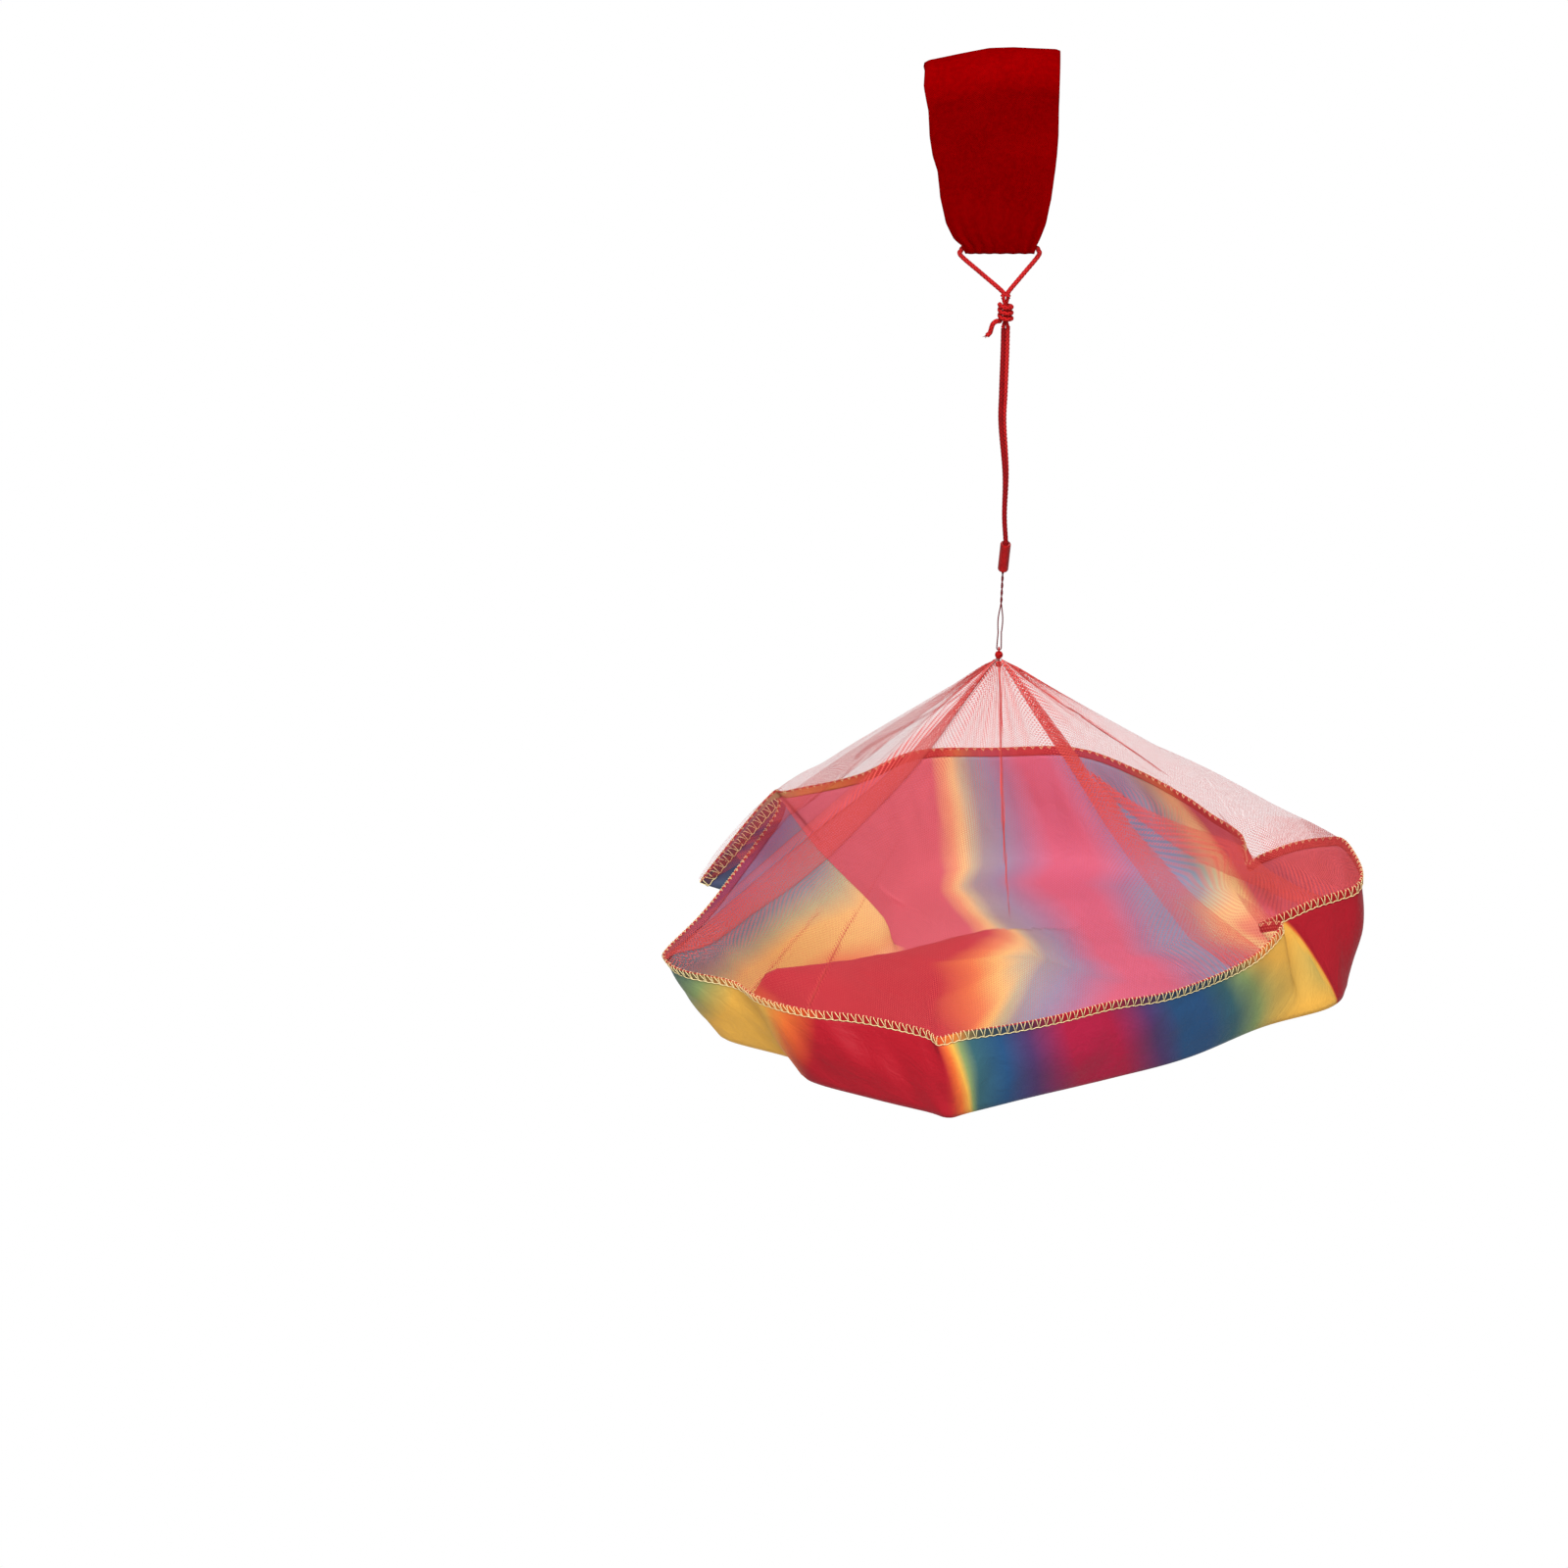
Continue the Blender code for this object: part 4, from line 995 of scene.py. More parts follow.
def make_satin_finish(name, print_depth, roughness, specular):
    """Striped satin. The print_depth is fitted to the photo: over 1 the print is deeper, and under 1 it is
    paler wherever the haze attribute is high. Where that attribute is low the print
    keeps the dye's own colour, which on the inside is painted shade."""
    finish, tree, shader = new_finish(name, roughness, specular)
    made = use_group(tree, stripes, {"Drift": 6.0})
    flat = made["Millimetres"]
    woven = use_group(tree, weave, {"Vector": flat, "Thread": 0.3})
    crumple = noise_map(tree, flat, 0.11, 5.0, Roughness=0.6, Distortion=0.8)
    haze = add_node(tree, "Attribute", attribute_name="haze").outputs["Fac"]
    # On the inside a print_depth under 1 draws the print paler: partly the reverse's own lighter print,
    # partly painted light for light through the thin cloth.
    shaded_depth = calculate(tree, "MULTIPLY_ADD", haze, print_depth - 1, 1.0)
    dye_with_painted_light = add_node(tree, "Gamma", {"Color": made["Color"], "Gamma": shaded_depth}).outputs[0]
    # The pink mix is partly the reverse's own paleness, partly a painted sheen.
    reverse_and_painted_light = calculate(tree, "MULTIPLY", haze, max(0, 1 - print_depth) * 0.2)
    pale = blend_colour(tree, reverse_and_painted_light, dye_with_painted_light, from_screen(250, 196, 208))
    fleck = remap(tree, woven["Fleck"], 0.3, 0.75, 0.0, 0.3)
    tone = blend_colour(tree, fleck, pale, (0.7, 0.68, 0.7, 1), "MULTIPLY")
    tree.links.new(tone, shader.inputs["Base Color"])
    height = calculate(tree, "MULTIPLY_ADD", woven["Height"], 0.03, crumple)
    add_bump(tree, shader, height, 0.0007)
    return finish


satin_outer = make_satin_finish("satin_outer", 1.12, 0.45, 0.12)
# The inside's paler print is partly the reverse's own, partly painted light for light through the thin cloth
# and its sheen.
satin_inner = make_satin_finish("satin_inner", 0.56, 0.6, 0.1)


def floor_lift(place):
    """How far the floor rises at a place for the soft fold across it."""
    best = 0.0
    for low, high in zip(RIDGE_SHARES, RIDGE_SHARES[1:]):
        a = Vector(low[:2]) * CANOPY_REACH
        b = Vector(high[:2]) * CANOPY_REACH
        along = b - a
        off = Vector(place[:2]) - a
        share = min(1, max(0, off.dot(along) / along.length_squared))
        side = off - along * share
        width = RIDGE_BACK if along.x * side.y - along.y * side.x > 0 else RIDGE_FRONT
        height = RIDGE_HEIGHT * (low[2] + (high[2] - low[2]) * share)
        best = max(best, height * math.exp(-((side.length / width) ** 2)))
    return best


def before_ridge(place):
    """1 on the floor in front of the soft fold and 0 elsewhere: painted shade, drawn there as a deeper print.
    """
    found = 0.0
    for low, high in zip(RIDGE_SHARES, RIDGE_SHARES[1:]):
        if low[0] * CANOPY_REACH <= place.x <= high[0] * CANOPY_REACH:
            share = (place.x / CANOPY_REACH - low[0]) / (high[0] - low[0])
            ridge_y = CANOPY_REACH * (low[1] + (high[1] - low[1]) * share)
            found = smooth_share((ridge_y - place.y + 0.006) / 0.008)
            found *= smooth_share((0.02 - place.x) / 0.04)
    return found


# How far the stripes are shifted in the map, in mm, fitted until they lie where the photo shows them:
# turn of the disc, then the shift at the rim, at the crease and on the floor
SATIN_SLIPS = [
    (0.586, 0, 4, 45),
    (0.600, 0, 4, 40),
    (0.636, 0, 4, 30),
    (0.646, 10, 14, 26),
    (0.680, 5, 5, 10),
    (0.700, 0, 0, 18),
    (0.714, -5, -5, 18),
    (0.722, -8, -8, 18),
    (0.733, 7, 7, 18),
    (0.745, 5, 5, 16),
    (0.765, 0, 0, 12),
    (0.820, 0, 2, 8),
    (0.850, 4, 18, 10),
    (0.870, 0, 25, 11),
    (0.880, -6, 23, 12),
    (0.890, -14, 18, 12),
    (0.8975, -22, 14, 12),
    (0.902, 8, 45, 15),
    (0.950, 5, 34, 20),
    (0.990, 0, 8, 20),
    (1.030, 0, 0, 22),
    (1.090, 0, 12, 28),
    (1.130, 3, 13, 28),
    (1.170, 6, 13, 26),
    (1.272, 6, 14, 26),
    (1.300, 28, 15, 22),
    (1.333, 60, 24, 18),
    (1.361, 84, 32, 16),
    (1.374, 86, 36, 18),
    (1.384, 0, 40, 20),
    (1.430, 0, 40, 26),
    (1.445, 0, 20, 30),
    (1.470, 0, 22, 35),
    (1.500, 6, 60, 45),
    (1.545, 4, 66, 50),
    (1.572, 0, 10, 46),
    (1.586, 0, 4, 45),
]
SLIP_FLOOR_SHARE = 0.85
SLIP_END_SHARE = 0.02
# The left panel's print is drawn deeper as painted shade: its middle turn, how far that reaches and how much
PANEL_TURN = 1.52
PANEL_REACH = 0.07
PANEL_SHADE = 0.6
# The bow of its free edge: turn, how far each way it reaches and its step in metres
PANEL_EDGE_TURN = 1.459
PANEL_EDGE_REACH = 0.03
PANEL_EDGE_STEP = Vector((0.006, 0, 0.005))
PANEL_EDGE_SHARES = [(0.0, 0.0), (0.14, 1.0), (0.31, 0.9), (0.66, 0.27), (1.0, 0.0)]

FLOOR_RING_COUNT = 30
WALL_RING_COUNT = 18
SATIN_HEM_SHARE = 0.985
# The right panel's free edge leans to the right on its way down: turn, reach each way and lean
LEAN_TURN = 0.897
LEAN_REACH = 0.04
LEAN = 0.006
# The crease is a soft bend, softest at the back: rings within and beyond it, first and last turn, passes
CREASE_SOFTENING = [(4, 4, 0.5, 1.6, 1), (9, 8, 1.02, 1.35, 40)]

satin_hem = below_rim(SEAM_HEIGHT - SATIN_BELOW_SEAM)
satin_middle = sum(crease, Vector()) / columns
wall_heights = [(top - foot).length / DISC_RADIUS for top, foot in zip(rim, crease)]
wall_shares = evened(wall_heights, SLOPE_SPREAD * FINER)
satin_rows = []
satin_pale_shade_values = []
for r in range(1, FLOOR_RING_COUNT + 1):
    share = r / FLOOR_RING_COUNT
    row = []
    for i, foot in enumerate(crease):
        place = satin_middle.lerp(foot, share)
        # Painted shade: in front of the fold the print keeps the dye's own colour.
        satin_pale_shade_values.append(1 - RIDGE_SHADE * before_ridge(place))
        ripple = noise.noise(Vector((place.x * 24, place.y * 24, 3.1)))
        ripple += 0.5 * noise.noise(Vector((place.x * 60, place.y * 60, 8.2)))
        place.z += floor_lift(place) * smooth_share((1 - share) / 0.16)
        stir = (FLOOR_RISE + FLOOR_RIPPLE * ripple) * smooth_share((1 - share) / 0.15)
        place.z += stir * smooth_share(share / 0.1)
        row.append(place)
    satin_rows.append(row)
outward = []
for i in range(columns):
    along = crease[(i + FINER) % columns] - crease[i - FINER]
    outward.append(along.cross(Vector((0, 0, 1))).normalized())
for r in range(1, WALL_RING_COUNT + 1):
    share = r / WALL_RING_COUNT
    row = []
    for i, foot in enumerate(crease):
        place = foot.lerp(satin_hem[i], share)
        run = turns[i] * 2 * math.pi * DISC_RADIUS
        wave = noise.noise(Vector((run * 28, share * 1.1, 5.0)))
        wave += 0.6 * noise.noise(Vector((run * 75, share * 2, 9.0)))
        free = math.sin(math.pi * share) * 0.8 + 0.2 * smooth_share((1 - share) / 0.2)
        bow = WALL_BOW * math.sin(math.pi * share)
        near_edge = max(0, 1 - abs(turns[i] - PANEL_EDGE_TURN) / PANEL_EDGE_REACH)
        place = place + PANEL_EDGE_STEP * smooth_share(near_edge) * table_value(PANEL_EDGE_SHARES, share)
        row.append(place + outward[i] * (wave * WALL_WAVE * free + bow))
        # Painted shade: the left panel's print is drawn deeper.
        on_panel = max(0, 1 - abs(turns[i] - PANEL_TURN) / PANEL_REACH)
        satin_pale_shade_values.append(1 - PANEL_SHADE * on_panel**0.5)
    satin_rows.append(row)


def satin_slip(row, k):
    """How far the stripes are shifted at a place on the satin, in mm."""
    if row < FLOOR_RING_COUNT:
        share = (row + 1) / FLOOR_RING_COUNT
        at_crease = table_value(SATIN_SLIPS, turns[k] - leans[k], 2)
        on_floor = table_value(SATIN_SLIPS, turns[k], 3)
        return table_value([(SLIP_END_SHARE, 0), (SLIP_FLOOR_SHARE, on_floor), (1, at_crease)], share)
    down = 1 - (row + 1 - FLOOR_RING_COUNT) / WALL_RING_COUNT
    turn = turns[k] - leans[k] * down
    at_rim, at_crease = (table_value(SATIN_SLIPS, turn, column) for column in (1, 2))
    return at_rim + (at_crease - at_rim) * down**2


leans = [LEAN * smooth_share(1 - abs(turn - LEAN_TURN) / LEAN_REACH) for turn in turns]
slips = [[satin_slip(row, k) / UV_TO_MM for k in range(columns)] for row in range(len(satin_rows))]


def satin_spot(row, k, wraps):
    crease_share = 1 - wall_shares[k]
    if row < FLOOR_RING_COUNT:
        x, y = disc_spot(turns[k], crease_share * (row + 1) / FLOOR_RING_COUNT)
    else:
        up = (row + 1 - FLOOR_RING_COUNT) / WALL_RING_COUNT
        x, y = disc_spot(turns[k], crease_share + (SATIN_HEM_SHARE - crease_share) * up)
    return (x + slips[row][k], y)


satin = grid_sheet("satin_bowl", satin_rows, satin_spot, [satin_outer, satin_inner], SATIN_CLOTH)


def close_middle(piece, first_count, centre):
    """Fan over the small hole in the middle of the rings."""
    bm = bmesh.new()
    bm.from_mesh(piece.data)
    bm.verts.ensure_lookup_table()
    uv = bm.loops.layers.uv["UVMap"]
    ring = [bm.verts[k] for k in range(first_count)]
    middle = bm.verts.new(centre)
    spots = {}
    for vert in ring:
        for loop in vert.link_loops:
            spots.setdefault(vert, loop[uv].uv.copy())
    for k in range(first_count):
        n = (k + 1) % first_count
        face = bm.faces.new((ring[n], ring[k], middle))
        face.smooth = True
        for loop in face.loops:
            loop[uv].uv = spots.get(loop.vert, Vector((0.5, 0.5)))
    bm.to_mesh(piece.data)
    bm.free()


satin_centre = satin_middle.copy()
satin_centre.z += floor_lift(satin_centre)
close_middle(satin, columns, satin_centre)
bm = bmesh.new()
bm.from_mesh(satin.data)
bm.verts.ensure_lookup_table()
axes = {"use_axis_x": True, "use_axis_y": True, "use_axis_z": True}
for within, beyond, first, last, passes in CREASE_SOFTENING:
    rings = bm.verts[(FLOOR_RING_COUNT - within) * columns : (FLOOR_RING_COUNT + beyond) * columns]
    soft = [vert for k, vert in enumerate(rings) if first < turns[k % columns] < last]
    for _ in range(passes):
        bmesh.ops.smooth_vert(bm, verts=soft, factor=0.5, **axes)
bm.to_mesh(satin.data)
bm.free()
# The attribute carries the painted shade in front of the fold and on the left panel.
haze = satin.data.attributes.new("haze", "FLOAT", "POINT")
haze.data.foreach_set("value", [*satin_pale_shade_values, satin_pale_shade_values[0]])
dress(satin, "canopy", "canopy_satin", "satin_floor", "satin_wall")


# The rim: both hems are trimmed together and overlocked. Pale yellow thread makes a V at each
# stitch on the outside, wraps over the edge, and a chain of it runs along the foot of the V's.
SEAM_CLOTH = 0.001
STITCH_PITCH = 0.0041
STITCH_THREAD = 0.00036
CHAIN_THREAD = 0.0004
CHAIN_DOWN = 0.0041
CHAIN_WAVE = 0.00022
CHAIN_LIFT = 0.0001
CHAIN_STEPS = 6
# One stitch: place along it in shares of its pitch, metres down from the edge, side of the cloth and
# metres off it
STITCH_ROUTE = [
    (-0.27, 0.0002, 1, 0),
    (-0.15, 0.0019, 1, 0.0001),
    (-0.04, 0.0038, 1, 0),
    (0.04, 0.0038, 1, 0),
    (0.15, 0.0019, 1, 0.0001),
    (0.27, 0.0002, 1, 0),
    (0.31, -0.0003, 0, 0),
    (0.36, 0.0003, -1, 0),
    (0.5, 0.0012, -1, 0),
    (0.64, 0.0003, -1, 0),
    (0.69, -0.0003, 0, 0),
]
seam_rows = [below_rim(SEAM_HEIGHT * share) for share in (1.0, 0.8, 0.6, 0.4, 0.2, 0.0)]


def seam_spot(row, k, wraps):
    return disc_spot(turns[k], SATIN_HEM_SHARE + (1 - SATIN_HEM_SHARE) * row / (len(seam_rows) - 1))


def make_seam_finish(name, darkness, left_share, dark, edge_start, blend_type="MIX"):
    """Both hems under the stitches: the satin's stripes, with the net's coral hem along the top.
    Outside, a dark tint over the stripes is painted shade among the stitches; inside, coral is mixed in, less
    at the left.
    """
    finish, tree, shader = new_finish(name, 0.7, 0.15)
    made = use_group(tree, stripes, {"Drift": 6.0})
    flat = made["Millimetres"]
    woven = use_group(tree, weave, {"Vector": flat, "Thread": 0.3})
    overlay_share = remap(tree, split_axes(tree, flat)[0], -150.0, -90.0, darkness * left_share, darkness)
    shaded = blend_colour(tree, overlay_share, made["Color"], dark, blend_type)
    reach = add_node(tree, "VectorMath", {0: flat}, operation="LENGTH").outputs["Value"]
    pucker = noise_map(tree, flat, 0.5, 3.0)
    frayed = calculate(tree, "MULTIPLY_ADD", pucker, 0.8, calculate(tree, "SUBTRACT", reach, 0.4))
    edge = DISC_RADIUS * 1000 - edge_start
    tone = blend_colour(tree, remap(tree, frayed, edge, edge + 0.4), shaded, from_screen(160, 34, 38))
    tree.links.new(tone, shader.inputs["Base Color"])
    add_bump(tree, shader, calculate(tree, "MULTIPLY_ADD", woven["Height"], 0.1, pucker), 0.0004)
    return finish


# Painted shade: outside, the hems' stripes are multiplied by a dark reddish tint.
seam_outer = make_seam_finish("seam_outer", 1.0, 1.0, (0.8, 0.4, 0.32, 1), 0.3, "MULTIPLY")
seam_inner = make_seam_finish("seam_inner", 0.7, 0.5, from_screen(176, 40, 40), 0.8)
seam = grid_sheet("rim_hem", seam_rows, seam_spot, [seam_outer, seam_inner], SEAM_CLOTH)
dress(seam, "canopy", "overlock_seam", "rim_seam")

# The first colour is painted shade for the hollows between the plies.
stitch_colours = (from_screen(208, 176, 112), from_screen(240, 222, 168))
stitch_yellow = make_thread_finish("stitch_yellow", 0.6, *stitch_colours, 0.00004)

rim_runs = [0.0]
for a, b in zip(rim, rim[1:] + rim[:1]):
    rim_runs.append(rim_runs[-1] + (b - a).length)
rim_length = rim_runs[-1]
rim_normals = []
for i in range(columns):
    along = rim[(i + 2) % columns] - rim[i - 2]
    rim_normals.append(along.cross(-slopes[i]).normalized())
rim_normals = [normal.normalized() for normal in evened(rim_normals, 3)]


def rim_place(run, down, out):
    """A place on the seam: so far along it, so far down from its edge and so far out of the cloth."""
    run %= rim_length
    low = min(bisect_right(rim_runs, run), columns) - 1
    part = (run - rim_runs[low]) / (rim_runs[low + 1] - rim_runs[low])
    n = (low + 1) % columns
    top = rim[low].lerp(rim[n], part)
    slope = slopes[low].lerp(slopes[n], part)
    normal = rim_normals[low].lerp(rim_normals[n], part)
    return top + slope * down + normal * out


stitch_count = round(rim_length / STITCH_PITCH)
pitch = rim_length / stitch_count
skin = SEAM_CLOTH / 2 + STITCH_THREAD * 0.35
stitch_line = []
for k in range(stitch_count):
    for along, down, side, lift in STITCH_ROUTE:
        stitch_line.append(rim_place(k * pitch + along * pitch, down, side * skin + lift))
bm = bmesh.new()
sweep(bm, stitch_line, two_ply(STITCH_THREAD, THREAD_LAY), 6, closed=True)
chain_line = []
for k in range(stitch_count * CHAIN_STEPS):
    phase = 2 * math.pi * k / CHAIN_STEPS
    down = CHAIN_DOWN + CHAIN_WAVE * math.sin(phase)
    chain_line.append(rim_place(k * pitch / CHAIN_STEPS, down, skin + CHAIN_LIFT * math.cos(phase)))
sweep(bm, chain_line, two_ply(CHAIN_THREAD, THREAD_LAY), 6, closed=True)
stitches = dress(add_piece("overlock_stitches", bm, stitch_yellow), "canopy", "overlock_seam")


# The net: a disc of fine coral tulle with holes of about a millimetre. Knotted at its middle and
# lifted, its spare width falls into folds: pressed flat in three layers or gathered in a line.
NET_TAUT_TURNS = (
    0.586, 0.625, 0.667, 0.717, 0.753, 0.793, 0.850, 0.949, 1.069, 1.131, 1.222, 1.272, 1.361, 1.374,
    1.416, 1.425, 1.457, 1.466, 1.503, 1.542,
)
NET_HEM_START_SHARE = 0.7
NECK_RADIUS = 0.0014
NET_COLUMN_COUNT = 1200
NET_RING_COUNT = 64
NET_PITCH = 1.0
FOLD_DEPTH = 2.4
FOLD_SEEN_SHARE = 0.3
FOLD_END_SHARE = 0.06
LAYER_GAP = 0.0007
# Each fold, as a row of places: the share of the way down, the turns at its two edges and how much
# denser the net is there
NET_FOLDS = [
    [
        (0.0, 0.604, 0.640, 0.8), (0.15, 0.612, 0.645, 0.6), (0.25, 0.610, 0.646, 0.3),
        (0.39, 0.602, 0.638, 0.15), (0.50, 0.592, 0.628, 0.1), (0.62, 0.588, 0.621, 0.05),
        (0.71, 0.585, 0.615, 0.05), (0.81, 0.583, 0.606, 0.1), (0.90, 0.582, 0.600, 0.2),
        (0.98, 0.581, 0.588, 0.3), (1.06, 0.582, 0.587, 0.3),
    ],
    [
        (0.0, 0.747, 0.757, 0.9), (0.22, 0.7485, 0.7510, 0.8), (0.43, 0.7492, 0.7508, 0.5),
        (0.60, 0.7515, 0.7525, 0.15), (0.74, 0.7535, 0.7540, 0.0),
    ],
    [
        (0.0, 0.832, 0.860, 0.8), (0.095, 0.832, 0.862, 0.6), (0.245, 0.835, 0.856, 0.8),
        (0.315, 0.837, 0.853, 0.7), (0.385, 0.837, 0.847, 0.5), (0.505, 0.836, 0.850, 0.15),
        (0.655, 0.838, 0.854, 0.05), (0.785, 0.839, 0.857, 0.0), (0.88, 0.839, 0.860, 0.0),
        (1.06, 0.852, 0.864, 0.2),
    ],
    [
        (0.34, 0.8505, 0.8535, 0.5), (0.465, 0.858, 0.870, 0.2), (0.56, 0.868, 0.883, 0.1),
        (0.655, 0.876, 0.897, 0.05), (0.725, 0.882, 0.906, 0.05), (0.84, 0.895, 0.908, 0.15),
        (1.06, 0.913, 0.922, 0.3),
    ],
    [
        (0.02, 0.914, 0.918, 0.3), (0.165, 0.9147, 0.9163, 0.4), (0.25, 0.9178, 0.9192, 0.4),
        (0.42, 0.9181, 0.9191, 0.2), (0.52, 0.9184, 0.9188, 0.0),
    ],
    [
        (0.3, 0.6912, 0.6918, 0.0), (0.385, 0.6805, 0.6815, 0.0), (0.51, 0.6703, 0.6713, 0.05),
        (0.685, 0.6675, 0.6685, 0.15), (0.77, 0.6658, 0.6672, 0.25), (0.86, 0.6662, 0.6678, 0.25),
        (1.06, 0.6692, 0.6708, 0.25),
    ],
    [
        (0.7, 0.6460, 0.6470, 0.05), (0.78, 0.6413, 0.6427, 0.2), (0.86, 0.6378, 0.6392, 0.25),
        (1.06, 0.6342, 0.6358, 0.25),
    ],
    [
        (0.0, 1.275, 1.285, 0.0), (0.305, 1.2855, 1.2870, 0.0), (0.555, 1.3140, 1.3165, 0.0),
        (0.695, 1.3295, 1.3325, 0.0), (0.86, 1.3300, 1.3310, 0.0),
    ],
]
# Places where the net is drawn denser, or more open where the density is negative, as the photo shows
# it. Layers of the mesh play no part in it. The columns are as above
NET_DENSE_PLACES = [
    [
        (0.12, 0.600, 0.616, 0.3), (0.20, 0.594, 0.612, 0.35), (0.27, 0.588, 0.611, 0.45),
        (0.37, 0.580, 0.605, 0.5), (0.50, 0.568, 0.596, 0.45), (0.60, 0.558, 0.591, 0.4),
        (0.70, 0.550, 0.587, 0.3), (0.80, 0.545, 0.585, 0.28), (0.90, 0.548, 0.584, 0.3),
        (1.01, 0.560, 0.583, 0.3),
    ],
    [
        (0.06, 1.270, 1.550, 0.0), (0.20, 1.280, 1.560, -0.2), (0.60, 1.300, 1.520, -0.26),
        (0.84, 1.320, 1.490, -0.2),
    ],
    [
        (0.70, 0.925, 0.940, 0.0), (0.80, 0.915, 0.965, 0.2), (0.92, 0.915, 0.985, 0.3),
        (1.01, 0.915, 0.99, 0.3),
    ],
]
DENSE_EDGE = 0.003
DENSE_START_SHARE = 0.08
STREAKS = 57
NECK_PULL_SHARE = 0.34
NET_WANDER = 0.0018
NET_RIPPLE = 0.0008
STREAK_HEIGHT = 0.0008
TANGENT_STEP = 0.003
NET_BELOW_EDGE = 0.0006
# Slack places: turn and share of the way down at the middle, how far each way it reaches and its height
NET_BULGES = [
    (1.405, 0.86, 0.035, 0.20, 0.006), (1.010, 0.75, 0.060, 0.30, 0.004), (0.700, 0.5, 0.09, 0.35, 0.002)
]

neck_centre = Vector((0, 0, NECK_Z))
net_hems = below_rim(NET_BELOW_EDGE)
taut_rows = [i for i, row in enumerate(RIM_SHARES) if row[0] in NET_TAUT_TURNS]
taut_starts = [sum(rim_counts[:i]) * FINER for i in taut_rows]
net_plain = [Vector()] * columns
for k, start in enumerate(taut_starts):
    near = [net_hems[taut_starts[(k + step) % len(taut_starts)]] for step in (-1, 0, 1, 2)]
    span = (taut_starts[(k + 1) % len(taut_starts)] - start) % columns
    for step in range(span):
        net_plain[(start + step) % columns] = spline_point(*near, step / span)


def net_place(turn, share):
    """A place on the net without folds: straight down from the neck, then following the rim."""
    turn = (turn - turns[0]) % 1 + turns[0]
    low = bisect_right(turns, turn) - 1
    n = (low + 1) % columns
    part = (turn - turns[low]) / ((turns[n] if n else turns[0] + 1) - turns[low])
    plain = net_plain[low].lerp(net_plain[n], part)
    folded = smooth_share((share - NET_HEM_START_SHARE) / (1 - NET_HEM_START_SHARE))
    side = Vector((plain.x, plain.y, 0)).normalized()
    start = neck_centre + side * NECK_RADIUS
    return start.lerp(plain.lerp(net_hems[low].lerp(net_hems[n], part), folded), share)


def turn_from(middle, turn):
    """How far round one turn lies from another, the short way."""
    return (turn - middle + 0.5) % 1 - 0.5


def places_at(lines, share):
    """Where each line of a table passes through a ring: middle turn, half width, density and ends."""
    for line in lines:
        if line[0][0] <= share <= line[-1][0]:
            first, last, density = (table_value(line, share, column) for column in (1, 2, 3))
            yield (first + last) / 2, (last - first) / 2, density, line[0][0], line[-1][0]


net_turns = [turns[0] + k / NET_COLUMN_COUNT for k in range(NET_COLUMN_COUNT)]
net_shares = [(r / NET_RING_COUNT) ** 0.9 for r in range(NET_RING_COUNT + 1)]
net_rows = []
net_gathers = []
for share in net_shares:
    edges = []
    for centre, half_width, density, start, end in places_at(NET_FOLDS, share):
        fade = smooth_share((share - start) / FOLD_END_SHARE) if start else 1
        fade *= smooth_share((end - share) / FOLD_END_SHARE)
        edges.append((centre, half_width / FOLD_SEEN_SHARE, density, fade))
    doubled = []
    for centre, half_width, density, start, _ in places_at(NET_DENSE_PLACES, share):
        doubled.append((centre, half_width, density * smooth_share((share - start) / DENSE_START_SHARE)))
    free = smooth_share(share / 0.1) * smooth_share((1 - share) / 0.12)
    neck_pull = smooth_share((NECK_PULL_SHARE - share) / NECK_PULL_SHARE)
    row = []
    for turn in net_turns:
        moved = turn
        lift = 0.0
        gather = 0.0
        for centre, half_width, density, fade in edges:
            x = turn_from(centre, moved) / half_width
            if abs(x) < 1:
                bump = x * (1 - x * x) ** 2 * fade
                moved -= FOLD_DEPTH * half_width * bump
                lift -= 4 * LAYER_GAP * bump
                seen = abs(x - FOLD_DEPTH * bump)
                inside = smooth_share((FOLD_SEEN_SHARE + 0.08 - seen) / 0.1)
                gather = max(gather, density * fade * inside)
        for centre, half_width, density in doubled:
            inside = half_width - abs(turn_from(centre, moved))
            gather += density * smooth_share(inside / DENSE_EDGE)
        place = net_place(moved, share)
        along = net_place(moved + TANGENT_STEP, share) - net_place(moved - TANGENT_STEP, share)
        up = (place - neck_centre).cross(along).normalized() if share else Vector((0, 0, 1))
        phase = STREAKS * turn + 1.5 * math.sin(2 * math.pi * 3 * turn)
        streak = 0.5 + 0.5 * math.sin(2 * math.pi * phase)
        wander = noise.noise(Vector((place.x * 12, place.y * 12, 1.7)))
        ripple = noise.noise(Vector((moved * 60, share * 3, 4.4)))
        pulled = streak * STREAK_HEIGHT * neck_pull * smooth_share(share / 0.06)
        lift += (wander * NET_WANDER + ripple * NET_RIPPLE) * free + pulled
        for middle, low_share, reach, share_reach, height in NET_BULGES:
            off = turn_from(middle, moved) / reach
            lift += height * max(0, 1 - off * off - ((share - low_share) / share_reach) ** 2)
        row.append(place + up * lift)
        net_gathers.append(max(gather, (0.12 + 0.5 * streak * streak) * neck_pull))
    net_rows.append(row)

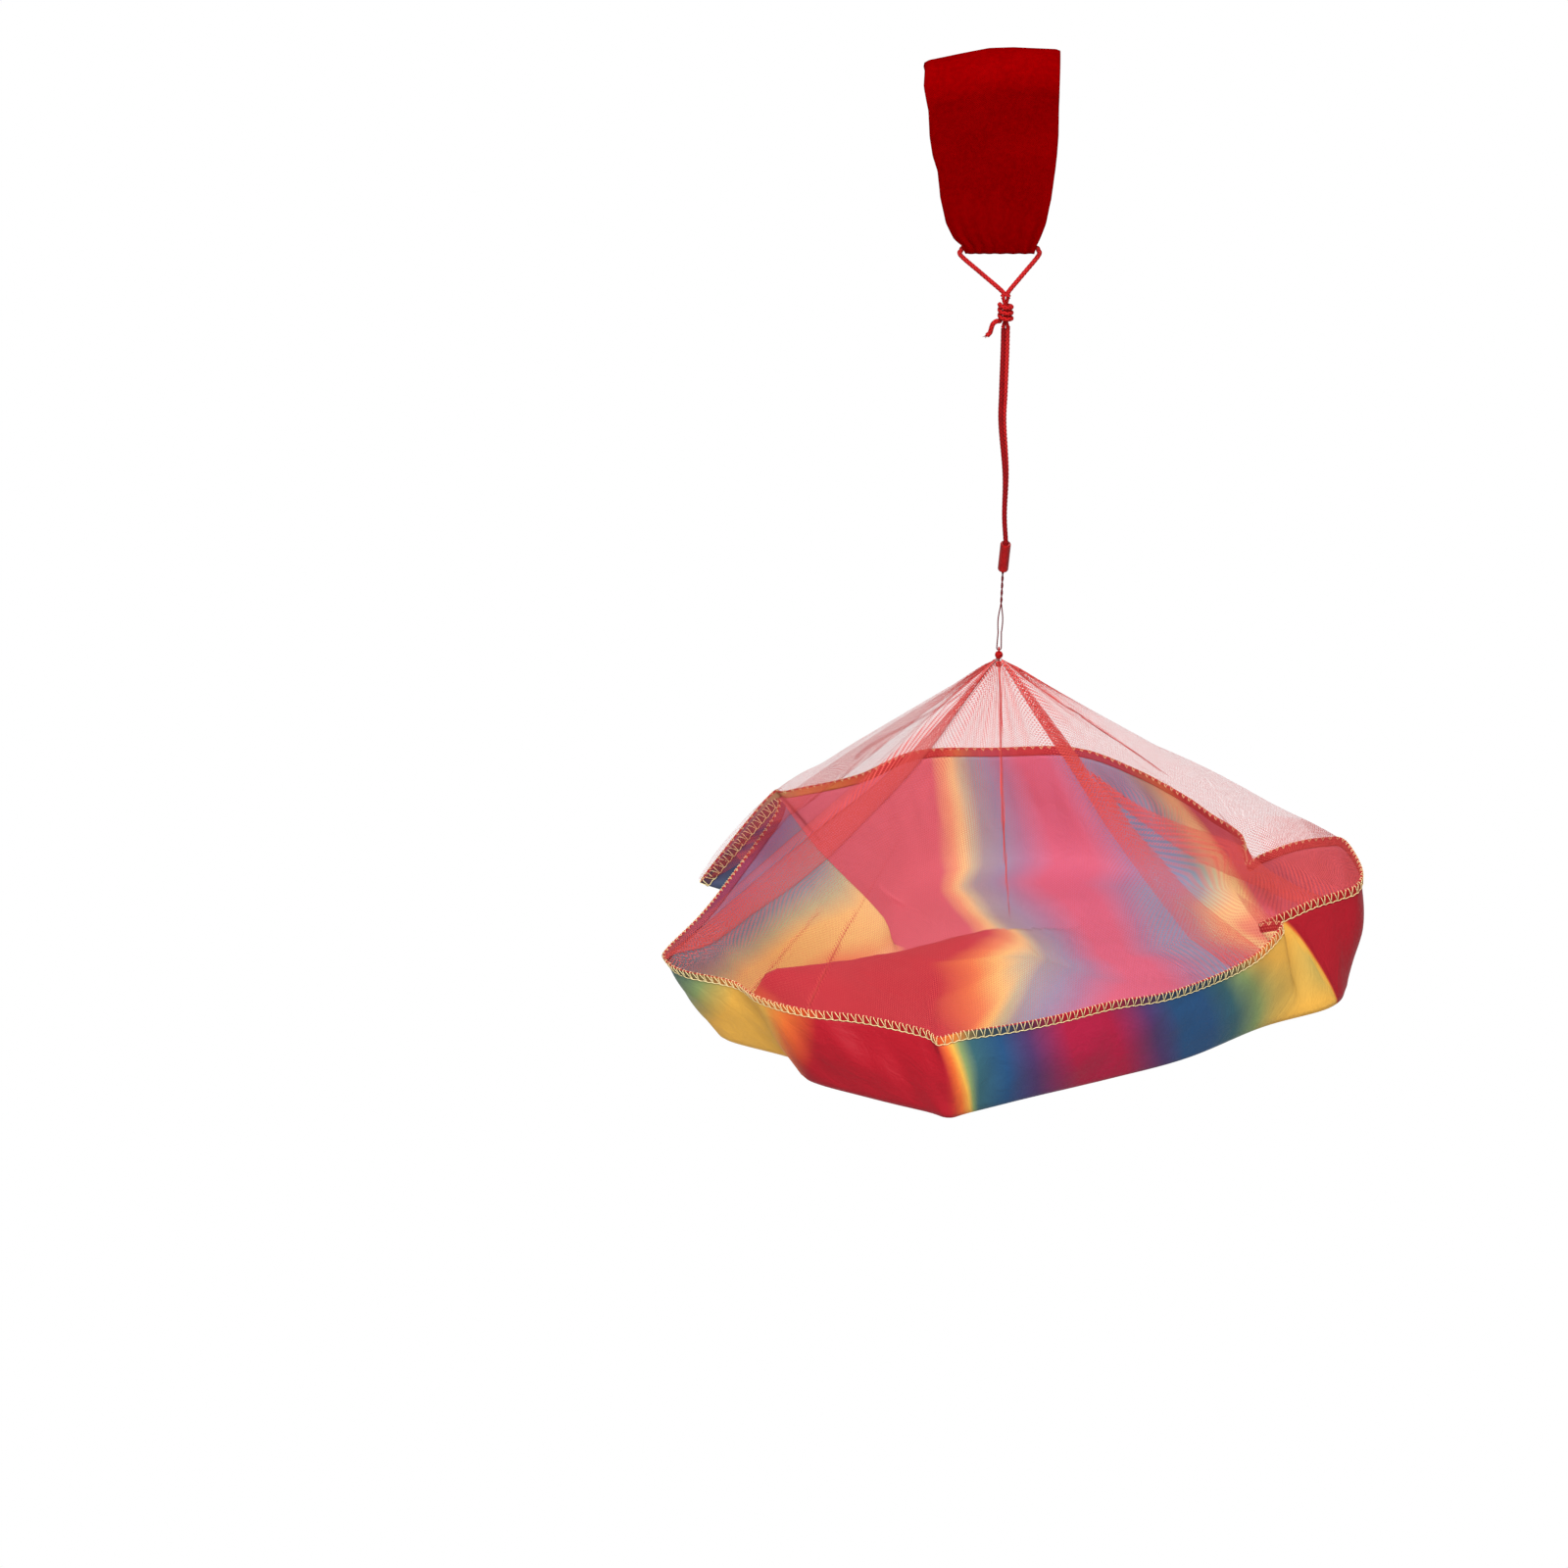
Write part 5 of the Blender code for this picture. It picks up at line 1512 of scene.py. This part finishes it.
wave_length = NET_PITCH * math.sqrt(3) / 2
net_coral, tree, shader = new_finish("net_coral", 0.7, 0.1)
flat = scaled(tree, uv_spot(tree), (UV_TO_MM,) * 3)
waves = []
for step in range(3):
    angle = math.radians(60 * step)
    across = [share * 2 * math.pi / wave_length for share in (math.cos(angle), math.sin(angle), 0.0)]
    reach = add_node(tree, "VectorMath", {0: flat, 1: across}, operation="DOT_PRODUCT").outputs["Value"]
    waves.append(calculate(tree, "COSINE", reach))
total = calculate(tree, "ADD", calculate(tree, "ADD", waves[0], waves[1]), waves[2])
gather = add_node(tree, "Attribute", attribute_name="gather").outputs["Fac"]
thread_edge = calculate(tree, "MULTIPLY_ADD", gather, 1.3, -1.04)
hole_edge = calculate(tree, "ADD", thread_edge, 0.1)
threads = remap(tree, total, hole_edge, calculate(tree, "SUBTRACT", thread_edge, 0.1))
tree.links.new(threads, shader.inputs["Alpha"])
patch = noise_map(tree, flat, 0.03, 2.0)
tone = blend_colour(tree, patch, from_screen(194, 64, 62), from_screen(206, 80, 74))
tree.links.new(tone, shader.inputs["Base Color"])
add_bump(tree, shader, total, 0.0001)


def net_spot(row, k, wraps):
    return disc_spot(net_turns[k], net_shares[row])


net = grid_sheet("coral_net", net_rows, net_spot, [net_coral], 0)
net.data.attributes.new("gather", "FLOAT", "POINT").data.foreach_set("value", net_gathers)
dress(net, "canopy", "canopy_net", "net_canopy")


# The room: a white floor well below the toy, which hangs, and broad soft lamps. The background is
# white for the lens only, so the toy gets plain studio light.
FLOOR_BELOW = 0.35
FLOOR_SIZE = 12
LAMP_SPECS = [
    ("key_lamp", (-0.3, -1.6, 2.2), 2.0, 145),
    ("front_lamp", (-0.9, -2.8, -0.3), 2.0, 12),
    ("side_lamp", (2.2, -1.2, 0.3), 2.0, 12),
    ("back_lamp", (0.3, 2.0, 1.0), 2.0, 14),
]
WORLD_LEVEL = 0.38

bm = bmesh.new()
bmesh.ops.create_grid(bm, x_segments=2, y_segments=2, size=FLOOR_SIZE)
bmesh.ops.translate(bm, verts=bm.verts, vec=(0, 0, FLOOR_Z - FLOOR_BELOW))
floor_white, tree, shader = new_finish("floor_white", 0.9, 0.0)
seen = add_node(tree, "LightPath").outputs["Is Camera Ray"]
tree.links.new(seen, shader.inputs["Emission Strength"])
shader.inputs["Emission Color"].default_value = (1, 1, 1, 1)
tree.links.new(blend_colour(tree, seen, (0.5, 0.5, 0.5, 1), (0, 0, 0, 1)), shader.inputs["Base Color"])
ground = add_piece("floor", bm, floor_white)

world = bpy.data.worlds.new("room")
bpy.context.scene.world = world
world.use_nodes = True
sky = world.node_tree
sky.nodes.clear()
seen = add_node(sky, "LightPath").outputs["Is Camera Ray"]
level = add_node(sky, "MapRange", {"Value": seen, "To Min": WORLD_LEVEL, "To Max": 1.0}).outputs["Result"]
glow = add_node(sky, "Background", {"Color": (1, 1, 1, 1), "Strength": level})
sky.links.new(glow.outputs[0], add_node(sky, "OutputWorld").inputs["Surface"])

for name, place, size, power in LAMP_SPECS:
    lamp_data = bpy.data.lights.new(name, "AREA")
    lamp_data.size = size
    lamp_data.energy = power
    lamp = bpy.data.objects.new(name, lamp_data)
    bpy.context.scene.collection.objects.link(lamp)
    lamp.location = Vector(place)
    toward = PICTURE_MIDDLE - lamp.location
    lamp.rotation_euler = toward.to_track_quat("-Z", "Y").to_euler()
bpy.context.scene.view_settings.view_transform = "Standard"
